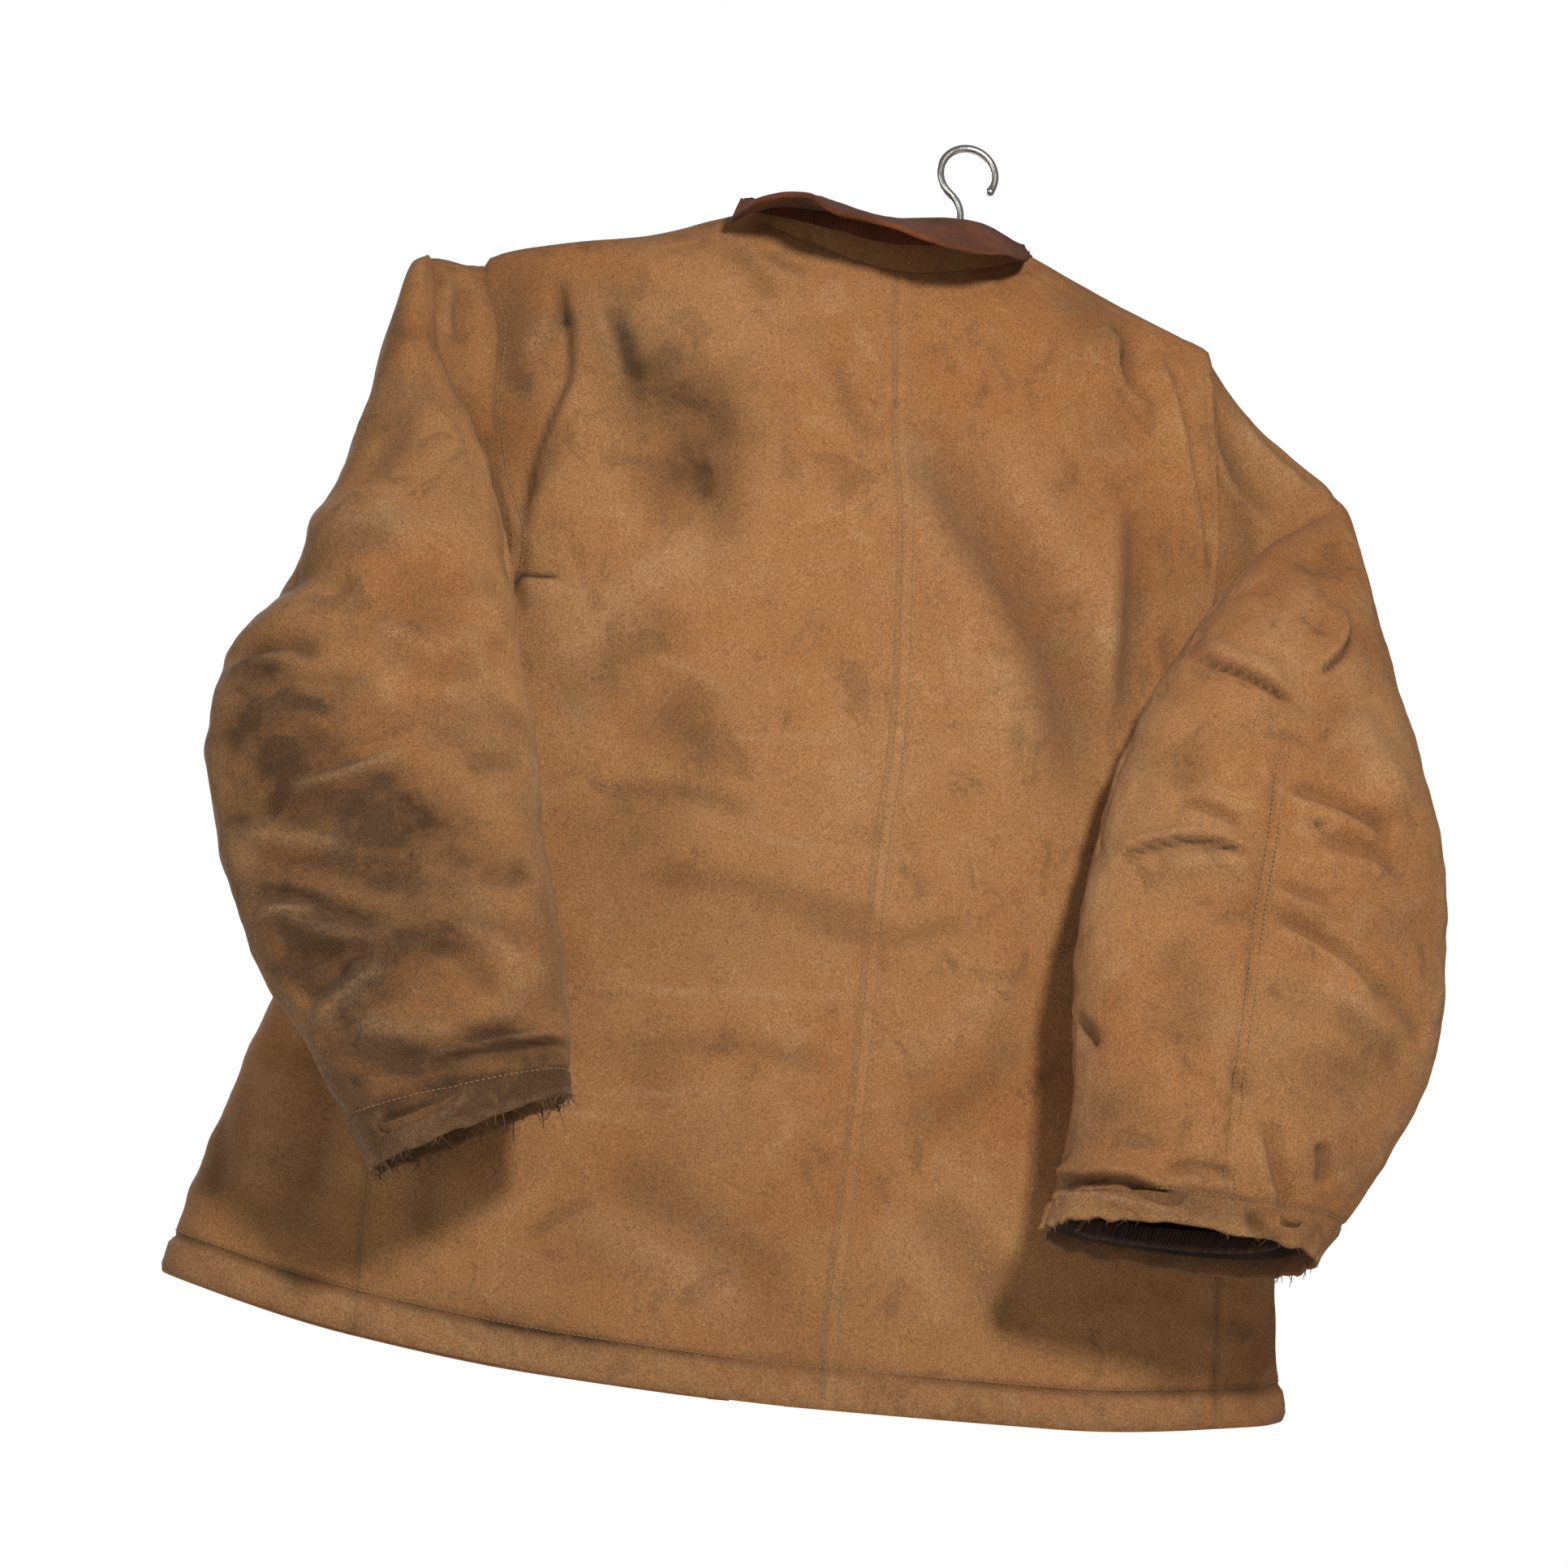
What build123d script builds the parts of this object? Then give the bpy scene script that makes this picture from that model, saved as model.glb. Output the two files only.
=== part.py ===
"""A lined canvas work jacket that hangs open on a swivel-hook hanger, as separate pieces.

Row frame: origin where the hook's bowl rests on a rail, +Z up, the jacket's back towards +Y, its
front towards -Y and the wearer's left towards +X. Millimetres.
The jacket itself is laid out in a garment frame with its zero at the back neck seam, then placed
under the hook by NECK_OFFSET.
"""

from build123d import *
from collections import namedtuple
from math import cos, sin, tan, atan, radians, degrees, sqrt, hypot
import os

# ---------------------------------------------------------------- driving sizes
BACK_LENGTH = 775.0          # back neck seam down to the hem
NECK_OFFSET = (57.0, 0.0, -118.0)   # garment zero from the hook's resting point

SHELL = 3.0                  # canvas with its backing
LINING = 4.0                 # quilted lining
POCKET = 3.5                 # a flat, empty patch pocket
FLAP = 3.0                   # a pocket flap
BODY_GAP = 0.8               # room between pieces that move apart
LAYER_GAP = 0.5              # room between a flap and the pocket under it

NECK_HALF_WIDTH = 104.0
NECK_HALF_DEPTH = 46.0
NECK_CENTRE_Y = 3.0
NECK_DROP = 75.0             # front neckline below the back neck seam
COLLAR_WALL = 5.0
COLLAR_STAND = 34.0          # height of the stand at the back neck
COLLAR_SIDE = 47.0           # top of the stand at the sides of the neck
COLLAR_LEAF = 62.0           # width of the leaf from the fold to its edge
COLLAR_LEAF_DROP = 26.0      # the leaf's fall below level, in degrees

LEFT_EDGE = 28.0             # front edges, either side of the open zip
RIGHT_EDGE = -12.0
LEFT_FOLD_FOOT = 330.0       # where each front's fold line meets the hem
RIGHT_FOLD_FOOT = -272.0
FOLD_AXIS_Y = -72.0
FOLD_TOP_IN = 6.0            # fold line's top, outside the front edge

HAND_POCKET = (140.0, 210.0)     # width, height
HAND_POCKET_TOP = -515.0
CHEST_POCKET = (90.0, 130.0)
CHEST_POCKET_TOP = -152.0
CHEST_POCKET_IN = 137.0          # its inner edge from the centre seam
CHEST_FLAP_DROP = 48.0
SNAP_RADIUS = 7.0
SNAP_CAP = 2.0
SNAP_STUD_RADIUS = 4.0
RIVET_RADIUS = 4.5
RIVET_HEAD = 1.6

TAPE_REVEAL = 6.0            # zip tape showing past the front edge
TAPE_COVERED = 12.0          # zip tape sewn under the front edge
TAPE_THICK = 1.2
TOOTH = (4.4, 4.0, 2.4)      # across, through and along the chain
TOOTH_PITCH = 6.0
ZIP_TOP = -110.0
ZIP_FOOT_RISE = 12.0         # the zip's foot above the hem
SLIDER = (12.0, 9.0, 13.0)
SLIDER_REST_RISE = 42.0      # the parked slider above the hem
SLIDER_ROOM = 0.5            # clearance round the teeth and tape
PULL = (9.0, 1.8, 28.0)
PULL_PIN_RADIUS = 1.2
PIN_ROOM = 0.06

SLEEVE_SHELL = 3.0
SLEEVE_LINING = 3.0
SEAM_SHIFT = 8.0             # the sleeve's seams, back from its widest line
ELBOW_GAP = 1.0
CUFF_SETBACK = 14.0          # the knit cuff's edge inside the sleeve's end
CUFF_LENGTH = 58.0
CUFF_NARROW = 14.0           # how far the knit closes in at the wrist
CUFF_WALL = 3.0

HOOK_WIRE = 5.5
HOOK_INNER_RADIUS = 17.5
HOOK_STEM_DROP = 56.0        # top of the straight stem below the resting point
HOOK_END_ANGLE = 205.0       # where the bowl's wire ends, from +X over the top
HANGER_TILT = 5.0            # the hanger leans, its left arm up
HANGER_ARM = 206.0
HANGER_SLOPE = 14.0
HANGER_TOP = -78.0
HANGER_HEIGHT = 24.0
HANGER_THICK = 13.0
STEM_HEAD_RADIUS = 4.6
STEM_HEAD = 2.5
BUSH_RADIUS = 7.0
BUSH_HEIGHT = 6.0

LOOP_WIDTH = 70.0
LOOP_BAND = 8.0
LOOP_THICK = 2.0
LOOP_STAND = 9.0

# ---------------------------------------------------------------- the torso's shape
# Half sizes to the right, left, front and back of the centre seam, and how square the outline is.
Station = namedtuple("Station", "z right left front back square")
HEM = -BACK_LENGTH
TORSO = [
    Station(42, 107, 107, 24, 32, 0.56),
    Station(12, 180, 178, 42, 46, 0.56),
    Station(-20, 258, 280, 57, 55, 0.57),
    Station(-60, 274, 288, 66, 60, 0.60),
    Station(-130, 272, 282, 66, 66, 0.63),
    Station(-290, 284, 288, 66, 72, 0.66),
    Station(-450, 300, 330, 66, 76, 0.68),
    Station(-620, 322, 378, 66, 80, 0.70),
    Station(HEM, 338, 408, 66, 82, 0.70),
]
def oval(plane, right, left, front, back, square=0.5523):
    """Control points of a closed outline in four smooth quadrants.

    A square of 0.5523 is an ellipse, and more is squarer.
    """
    quadrants = []
    for k, (x, y) in enumerate([(left, back), (-right, back), (-right, -front), (left, -front)]):
        points = [(x, 0), (x, y * square), (x * square, y), (0, y)]
        if k % 2:
            points.reverse()
        quadrants.append([plane.from_local_coords((u, v, 0)) for u, v in points])
    return quadrants


def outline_face(quadrants):
    return Face(Wire([Edge.make_bezier(*points) for points in quadrants]))


def tube(outlines):
    """A closed solid through a row of outlines, straight between one and the next."""
    faces = [outline_face(outlines[0]), outline_face(outlines[-1])]
    for near, far in zip(outlines, outlines[1:]):
        faces += [Face.make_bezier_surface([a, b]) for a, b in zip(near, far)]
    return Solid(Shell(faces))


def torso(grow):
    """The torso's solid form, grown outwards or inwards."""
    rings = []
    for station in TORSO:
        foot = station is TORSO[-1]
        rise = 0 if foot and grow >= 0 else -6 if foot else grow
        rings.append(oval(Plane((0, 0, station.z + rise)), station.right + grow,
                          station.left + grow, station.front + grow, station.back + grow,
                          station.square))
    return tube(rings)


def prism(points, low_y, high_y):
    """A polygon in XZ, pushed through Y."""
    face = Face(Wire.make_polygon([(x, low_y, z) for x, z in points], close=True))
    return Solid.extrude(face, Vector(0, high_y - low_y, 0))


def block(low, high):
    size = [high[i] - low[i] for i in range(3)]
    return Pos(*low) * Box(*size, align=(Align.MIN, Align.MIN, Align.MIN))


def rod(start, end, radius):
    """A round bar between two points."""
    axis = Vector(*end) - Vector(*start)
    bar = Cylinder(radius, axis.length, align=(Align.CENTER, Align.CENTER, Align.MIN))
    return Plane(origin=start, z_dir=axis) * bar


# ---------------------------------------------------------------- fold lines of the two fronts
FAR = 900.0
FOLD_TOP = -NECK_DROP - 5


def fold_ends(side):
    top = LEFT_EDGE + FOLD_TOP_IN if side > 0 else RIGHT_EDGE - FOLD_TOP_IN
    return top, LEFT_FOLD_FOOT if side > 0 else RIGHT_FOLD_FOOT


def fold_x(side, z):
    """The fold line's place across the front at height z; side is +1 for the wearer's left."""
    top, foot = fold_ends(side)
    return top + (foot - top) * (FOLD_TOP - z) / (FOLD_TOP - HEM)


def fold_z(side, x):
    """The height at which the fold line stands at x."""
    top, foot = fold_ends(side)
    return FOLD_TOP - (FOLD_TOP - HEM) * (x - top) / (foot - top)


def front_edge(side):
    return LEFT_EDGE if side > 0 else RIGHT_EDGE


def swinging_front(side, inset=0.0, gap=0.0):
    """Everything of one front that swings open: from the front edge to the fold line."""
    edge = front_edge(side) + side * inset
    foot = HEM - 20
    top = min(FOLD_TOP - gap, fold_z(side, edge + side * (FOLD_TOP_IN - 1)))
    corners = [
        (edge, top),
        (fold_x(side, top) - side * gap, top),
        (fold_x(side, foot) - side * gap, foot),
        (edge, foot),
    ]
    return prism(corners, -FAR, 0)


def open_front():
    """The space between the two front edges, and the scooped neckline above it."""
    gap = block((RIGHT_EDGE, -FAR, HEM - 20), (LEFT_EDGE, 0, 60))
    scoop = Plane.XZ * Ellipse(NECK_HALF_WIDTH * 0.72, NECK_DROP + 30)
    scoop = extrude(Pos(0, 0, 30) * scoop, FAR / 2)
    return gap, scoop


def neck_hole():
    shape = Pos(0, NECK_CENTRE_Y, -200) * Ellipse(NECK_HALF_WIDTH, NECK_HALF_DEPTH)
    return extrude(shape, 500)


# ---------------------------------------------------------------- the sleeves' shape
# Each station is the sleeve's outer and inner edge in XZ, its middle's Y and its half depth.
Cut = namedtuple("Cut", "outer inner y half")
LEFT_SLEEVE = [
    Cut((250, -24), (248, -288), 0, 28),
    Cut((298, -24), (262, -290), 4, 31),
    Cut((334, -52), (270, -298), 14, 36),
    Cut((366, -130), (270, -308), 40, 42),
    Cut((394, -235), (262, -326), 74, 45),
    Cut((414, -330), (238, -360), 102, 46),
    Cut((420, -402), (214, -402), 120, 46),
    Cut((404, -480), (198, -460), 136, 45),
    Cut((362, -560), (182, -520), 150, 43),
    Cut((284, -662), (166, -608), 168, 38),
]
RIGHT_SLEEVE = [
    Cut((-240, -22), (-240, -286), 0, 28),
    Cut((-280, -26), (-254, -290), 4, 31),
    Cut((-332, -66), (-264, -300), 16, 38),
    Cut((-354, -140), (-262, -312), 44, 44),
    Cut((-366, -240), (-254, -331), 82, 47),
    Cut((-374, -330), (-218, -364), 112, 48),
    Cut((-382, -408), (-164, -408), 130, 48),
    Cut((-384, -490), (-144, -480), 146, 46),
    Cut((-364, -580), (-134, -566), 160, 42),
    Cut((-312, -664), (-134, -652), 170, 38),
]
ELBOW_CUT = 6                # the station at the elbow


def sleeve_plane(cuts, k):
    """The plane of station k and half its width: its x runs from the inner to the outer edge."""
    return cut_plane(cuts[k])


def cut_plane(cut):
    across = Vector(cut.outer[0] - cut.inner[0], 0, cut.outer[1] - cut.inner[1])
    middle = Vector((cut.outer[0] + cut.inner[0]) / 2, cut.y, (cut.outer[1] + cut.inner[1]) / 2)
    normal = across.cross(Vector(0, 1, 0))
    if normal.Z > 0:
        normal = -normal
    return Plane(origin=middle, x_dir=across, z_dir=normal), across.length / 2


def near_end(cuts, distance):
    """The sleeve's cut a distance up its middle line from its end."""
    before, end = cuts[-2], cuts[-1]
    start, finish = cut_plane(before)[0].origin, cut_plane(end)[0].origin
    f = distance / (finish - start).length

    def mix(a, b):
        return b + (a - b) * f

    outer = (mix(before.outer[0], end.outer[0]), mix(before.outer[1], end.outer[1]))
    inner = (mix(before.inner[0], end.inner[0]), mix(before.inner[1], end.inner[1]))
    return Cut(outer, inner, mix(before.y, end.y), mix(before.half, end.half))


def sleeve_form(cuts, grow, past=0.0):
    """One sleeve's solid form, grown by a wall and run past both ends."""
    rings = []
    last = len(cuts) - 1
    for k in range(len(cuts)):
        plane, half = sleeve_plane(cuts, k)
        shift = -past if k == 0 else past if k == last else 0.0
        plane = plane.offset(shift)
        deep = cuts[k].half + grow
        rings.append(oval(plane, half + grow, half + grow, deep, deep))
    return tube(rings)


def elbow_height(cuts):
    return (cuts[ELBOW_CUT].outer[1] + cuts[ELBOW_CUT].inner[1]) / 2


def sleeve_nodes(side):
    """Upper and lower halves of a two-piece sleeve, its lining and its knit cuff."""
    name = "left" if side > 0 else "right"
    cuts = LEFT_SLEEVE if side > 0 else RIGHT_SLEEVE
    outside = sleeve_form(cuts, 0)
    between = sleeve_form(cuts, -SLEEVE_SHELL, 12)
    inside = sleeve_form(cuts, -SLEEVE_SHELL - SLEEVE_LINING, 14)
    shell = outside - between
    lining = (outside & between) - inside
    clear_torso = torso(BODY_GAP)
    shell = shell - clear_torso
    lining = lining - clear_torso
    elbow = elbow_height(cuts)
    above = block((-FAR, -FAR, elbow + ELBOW_GAP / 2), (FAR, FAR, FAR))
    below = block((-FAR, -FAR, -FAR), (FAR, FAR, elbow - ELBOW_GAP / 2))
    outer_half, inner_half = sleeve_halves(cuts)
    nodes = {}
    for part_name, region in (("upper", above), ("lower", below)):
        nodes[f"{name}_top_sleeve_{part_name}"] = shell & region & outer_half
        nodes[f"{name}_under_sleeve_{part_name}"] = shell & region & inner_half
        nodes[f"{name}_sleeve_lining_{part_name}"] = lining & region
    nodes[f"{name}_knit_cuff"] = knit_cuff(cuts)
    return nodes


def sleeve_halves(cuts):
    """Two slabs that meet on the sleeve's middle surface, one towards the back and one to the front."""
    def slab(low, high):
        rows = []
        for k in range(len(cuts)):
            plane, half = sleeve_plane(cuts, k)
            plane = plane.offset(-30 if k == 0 else 30 if k == len(cuts) - 1 else 0)
            reach = half + 20
            corners = [(-reach, low), (reach, low), (reach, high), (-reach, high)]
            rows.append([plane.from_local_coords((x, y, 0)) for x, y in corners])
        faces = [Face(Wire.make_polygon(row, close=True)) for row in (rows[0], rows[-1])]
        for near, far in zip(rows, rows[1:]):
            for k in range(4):
                m = (k + 1) % 4
                faces.append(Face.make_bezier_surface([[near[k], near[m]], [far[k], far[m]]]))
        return Solid(Shell(faces))

    towards_back = sleeve_plane(cuts, 0)[0].y_dir.Y > 0
    if towards_back:
        return slab(SEAM_SHIFT, 80), slab(-80, SEAM_SHIFT)
    return slab(-80, -SEAM_SHIFT), slab(-SEAM_SHIFT, 80)


def knit_cuff(cuts):
    """A tapered knit cuff sewn to the lining inside the sleeve's end."""
    wall = SLEEVE_SHELL + SLEEVE_LINING + BODY_GAP

    def cone(thick):
        rings = []
        for distance, narrow in ((CUFF_SETBACK + CUFF_LENGTH + thick, 0.0),
                                 (CUFF_SETBACK - thick, CUFF_NARROW)):
            cut = near_end(cuts, distance)
            plane, half = cut_plane(cut)
            a = half - wall - narrow - thick
            b = cut.half - wall - narrow / 2 - thick
            rings.append(oval(plane, a, a, b, b))
        return tube(rings)

    return cone(0.0) - cone(CUFF_WALL)


# ---------------------------------------------------------------- panels and lining
def armhole(side):
    """The oval opening between the torso and a sleeve."""
    cuts = LEFT_SLEEVE if side > 0 else RIGHT_SLEEVE
    start = cuts[0]
    middle = (start.outer[1] + start.inner[1]) / 2
    half = abs(start.outer[1] - start.inner[1]) / 2 - SLEEVE_SHELL - SLEEVE_LINING
    oval = Plane.YZ * Ellipse(start.half - SLEEVE_SHELL - SLEEVE_LINING, half)
    reach = extrude(oval, 150)
    if side > 0:
        return Pos(200, start.y, middle) * reach
    return Pos(-350, start.y, middle) * reach


def beside_tape(side):
    """The room that a zip tape takes from the lining."""
    near, far = front_edge(side), front_edge(side) + side * (TAPE_COVERED + 1)
    return block((min(near, far), -FAR, HEM - 20), (max(near, far), 0, ZIP_TOP + 9))


def torso_nodes():
    gap, scoop = open_front()
    openings = [gap, scoop, neck_hole(), armhole(1), armhole(-1)]
    shell = torso(0) - torso(-SHELL)
    lining = torso(-SHELL) - torso(-SHELL - LINING)
    shell = shell.cut(*openings)
    lining = lining.cut(*openings, block((-FAR, -FAR, HEM - 40), (FAR, FAR, HEM + 9)))
    for side in (1, -1):
        lining = lining - beside_tape(side)

    static_shell = shell
    static_lining = lining
    nodes = {}
    for side, name in ((1, "left"), (-1, "right")):
        nodes[f"{name}_front_panel"] = shell & swinging_front(side, 0, BODY_GAP)
        nodes[f"{name}_front_lining"] = lining & swinging_front(
            side, TAPE_COVERED + 1, BODY_GAP)
        static_shell = static_shell - swinging_front(side)
        static_lining = static_lining - swinging_front(side)
    back = block((-FAR, 0, -FAR), (FAR, FAR, FAR))
    front = block((-FAR, -FAR, -FAR), (FAR, 0, FAR))
    left = block((0, -FAR, -FAR), (FAR, FAR, FAR))
    right = block((-FAR, -FAR, -FAR), (0, FAR, FAR))
    for side, name in ((left, "left"), (right, "right")):
        nodes[f"{name}_back_panel"] = static_shell & back & side
        nodes[f"{name}_front_side"] = static_shell & front & side
        nodes[f"{name}_back_lining"] = static_lining & back & side
        nodes[f"{name}_side_lining"] = static_lining & front & side
    return nodes


def on_front(low, high, outline):
    """A layer lying on the jacket's front between two depths, cut to an outline in XZ."""
    layer = torso(high) - torso(low) if low else torso(high) - torso(0)
    return layer & prism(outline, -FAR, -5)


def box_outline(side, inner, width, top, height, chamfer=0.0):
    """A pocket outline with its lower corners cut off."""
    near, far = side * inner, side * (inner + width)
    c = side * chamfer
    foot = top - height
    return [(near, top), (far, top), (far, foot + chamfer), (far - c, foot),
            (near + c, foot), (near, foot + chamfer)] if chamfer else [
            (near, top), (far, top), (far, foot), (near, foot)]


def pocket_nodes(side):
    name = "left" if side > 0 else "right"
    nodes = {}
    edge = abs(front_edge(side)) + 20
    hand = box_outline(side, edge, HAND_POCKET[0], HAND_POCKET_TOP, HAND_POCKET[1], 18)
    nodes[f"{name}_hand_pocket"] = on_front(0, POCKET, hand)
    rivets = None
    for inner in (edge + 9, edge + HAND_POCKET[0] - 9):
        spot = rod((side * inner, -FAR, HAND_POCKET_TOP - 9),
                   (side * inner, -5, HAND_POCKET_TOP - 9), RIVET_RADIUS)
        head = (torso(POCKET + RIVET_HEAD) - torso(POCKET)) & spot
        rivets = head if rivets is None else rivets + head
    nodes[f"{name}_pocket_rivets"] = rivets

    chest = box_outline(side, CHEST_POCKET_IN, CHEST_POCKET[0], CHEST_POCKET_TOP,
                        CHEST_POCKET[1], 14)
    nodes[f"{name}_chest_pocket"] = on_front(0, POCKET, chest)
    flap_low = POCKET + LAYER_GAP
    flap = box_outline(side, CHEST_POCKET_IN - 2, CHEST_POCKET[0] + 4,
                       CHEST_POCKET_TOP + 6, CHEST_FLAP_DROP, 10)
    nodes[f"{name}_chest_flap"] = on_front(flap_low, flap_low + FLAP, flap)
    middle = side * (CHEST_POCKET_IN + CHEST_POCKET[0] / 2)
    snap_z = CHEST_POCKET_TOP + 6 - CHEST_FLAP_DROP + 15
    cap = rod((middle, -FAR, snap_z), (middle, -5, snap_z), SNAP_RADIUS)
    stud = rod((middle, -FAR, snap_z), (middle, -5, snap_z), SNAP_STUD_RADIUS)
    nodes[f"{name}_snap_cap"] = (
        torso(flap_low + FLAP + SNAP_CAP) - torso(flap_low + FLAP)) & cap
    nodes[f"{name}_chest_flap"] = nodes[f"{name}_chest_flap"] - rod(
        (middle, -FAR, snap_z), (middle, -5, snap_z), SNAP_STUD_RADIUS + LAYER_GAP)
    nodes[f"{name}_snap_stud"] = (torso(flap_low + FLAP - LAYER_GAP) - torso(POCKET)) & stud
    return nodes


# ---------------------------------------------------------------- the collar and the loop
FOLD_Y = NECK_CENTRE_Y + NECK_HALF_DEPTH + COLLAR_WALL    # back face of the stand
LEAF_THICK = 4.0
LEAF_FOLD_HALF = 58.0        # half the back leaf's length at its fold and at its edge
LEAF_EDGE_HALF = 84.0
LEAF_LIFT = 3.0              # the leaf's fold above the stand's top edge


def back_leaf():
    """The back of the folded collar, standing out from the top of the stand and drooping a little."""
    corners = [(-LEAF_FOLD_HALF, 0), (LEAF_FOLD_HALF, 0), (LEAF_EDGE_HALF, COLLAR_LEAF),
               (-LEAF_EDGE_HALF, COLLAR_LEAF)]
    leaf = Solid.extrude(Face(Wire.make_polygon(corners, close=True)), Vector(0, 0, LEAF_THICK))
    outer = [e for e in leaf.edges().filter_by(Axis.Z) if e.center().Y > COLLAR_LEAF / 2]
    leaf = leaf.fillet(14, outer)
    return Pos(0, FOLD_Y, COLLAR_STAND + LEAF_LIFT) * Rot(-COLLAR_LEAF_DROP, 0, 0) * leaf


def collar_nodes():
    nodes = {}
    outer = Pos(0, NECK_CENTRE_Y, -150) * Ellipse(NECK_HALF_WIDTH + COLLAR_WALL,
                                                  NECK_HALF_DEPTH + COLLAR_WALL)
    inner = Pos(0, NECK_CENTRE_Y, -150) * Ellipse(NECK_HALF_WIDTH, NECK_HALF_DEPTH)
    ring_wall = extrude(outer, 400) - extrude(inner, 400)
    ring_wall = ring_wall - torso(0)
    below_top = prism_x([(-12, -20), (-12, COLLAR_SIDE), (NECK_CENTRE_Y, COLLAR_SIDE),
                         (NECK_CENTRE_Y + 35, COLLAR_STAND), (FOLD_Y + 1, COLLAR_STAND),
                         (FOLD_Y + 1, -20)], -FAR, FAR)
    nodes["collar_stand"] = ring_wall & below_top

    nodes["collar_back_leaf"] = back_leaf()

    for side, name in ((1, "left"), (-1, "right")):
        shoulder_x, tip_z = NECK_HALF_WIDTH + 10, -118.0
        outline = [
            (side * 78, 34), (side * (shoulder_x + 34), 22), (side * 104, -92),
            (side * 78, tip_z), (fold_x(side, tip_z) + side * 5, tip_z + 16),
            (fold_x(side, FOLD_TOP) + side * 4, FOLD_TOP + 4),
            (side * 60, -20),
        ]
        wing = (torso(LEAF_THICK) - torso(0)) & prism(outline, -FAR, -8)
        nodes[f"collar_{name}_wing"] = wing
    return nodes


def prism_x(points, low_x, high_x):
    """A polygon in YZ, pushed through X."""
    face = Face(Wire.make_polygon([(low_x, y, z) for y, z in points], close=True))
    return Solid.extrude(face, Vector(high_x - low_x, 0, 0))


def hang_loop():
    """The strap inside the back neck: a shallow bow sewn down at both ends."""
    wall_y = NECK_CENTRE_Y + NECK_HALF_DEPTH
    y = wall_y - LOOP_STAND
    z = COLLAR_STAND * 0.45
    half = LOOP_WIDTH / 2
    deep = LOOP_STAND * 2.2
    bow = block((-half, y - LOOP_THICK, z), (half, y, z + LOOP_BAND))
    ends = None
    for x in (-half, half - LOOP_THICK):
        leg = block((x, y, z), (x + LOOP_THICK, y + deep, z + LOOP_BAND))
        ends = leg if ends is None else ends + leg
    loop = bow + ends
    hole = extrude(Pos(0, NECK_CENTRE_Y, -150) * Ellipse(NECK_HALF_WIDTH, NECK_HALF_DEPTH), 400)
    return loop & hole


# ---------------------------------------------------------------- the zip
ZIP_Y = -(TORSO[4].front - SHELL)          # outer face of the tape, against the shell's inside
TAPE_MID = ZIP_Y + TAPE_THICK / 2
ZIP_FOOT = HEM + ZIP_FOOT_RISE


def zip_half(side):
    """Tape, teeth and end stop of one half of the open zip."""
    name = "left" if side > 0 else "right"
    edge = front_edge(side)
    lip = edge - side * TAPE_REVEAL
    sewn = edge + side * TAPE_COVERED
    low_x, high_x = min(lip, sewn), max(lip, sewn)
    tape = block((low_x, ZIP_Y, ZIP_FOOT), (high_x, ZIP_Y + TAPE_THICK, ZIP_TOP + 8))
    tape = tape & torso(-SHELL)
    count = int((ZIP_TOP - ZIP_FOOT - 24) / TOOTH_PITCH)
    teeth = []
    for k in range(count):
        z = ZIP_FOOT + 22 + k * TOOTH_PITCH
        tooth = Pos(lip - side * TOOTH[0] / 2, TAPE_MID, z) * Box(*TOOTH)
        teeth.append(tooth)
    stop = Pos(lip - side * TOOTH[0] / 2, TAPE_MID, ZIP_TOP + 1) * Box(
        TOOTH[0], TOOTH[1] + 1.0, 5.0)
    return {
        f"{name}_zip_tape": tape,
        f"{name}_zip_teeth": Compound(children=teeth),
        f"{name}_zip_top_stop": stop,
    }


def zip_foot_nodes():
    """The box on the right half and the pin on the left half, at the zip's foot."""
    nodes = {}
    lip = front_edge(-1) + TAPE_REVEAL
    nodes["zip_box"] = Pos(lip + TOOTH[0] / 2 + 1, TAPE_MID, ZIP_FOOT + 6) * Box(
        TOOTH[0] + 2, TOOTH[1] + 2, 12)
    lip = front_edge(1) - TAPE_REVEAL
    nodes["zip_pin"] = Pos(lip - TOOTH[0] / 2, TAPE_MID, ZIP_FOOT + 8) * Box(
        TOOTH[0] - 1, TOOTH[1] - 1, 16)
    return nodes


SLIDER_X = RIGHT_EDGE + TAPE_REVEAL + TOOTH[0] / 2
SLIDER_Z = HEM + SLIDER_REST_RISE
PULL_Y = TAPE_MID - SLIDER[1] / 2 - 2.2


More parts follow.
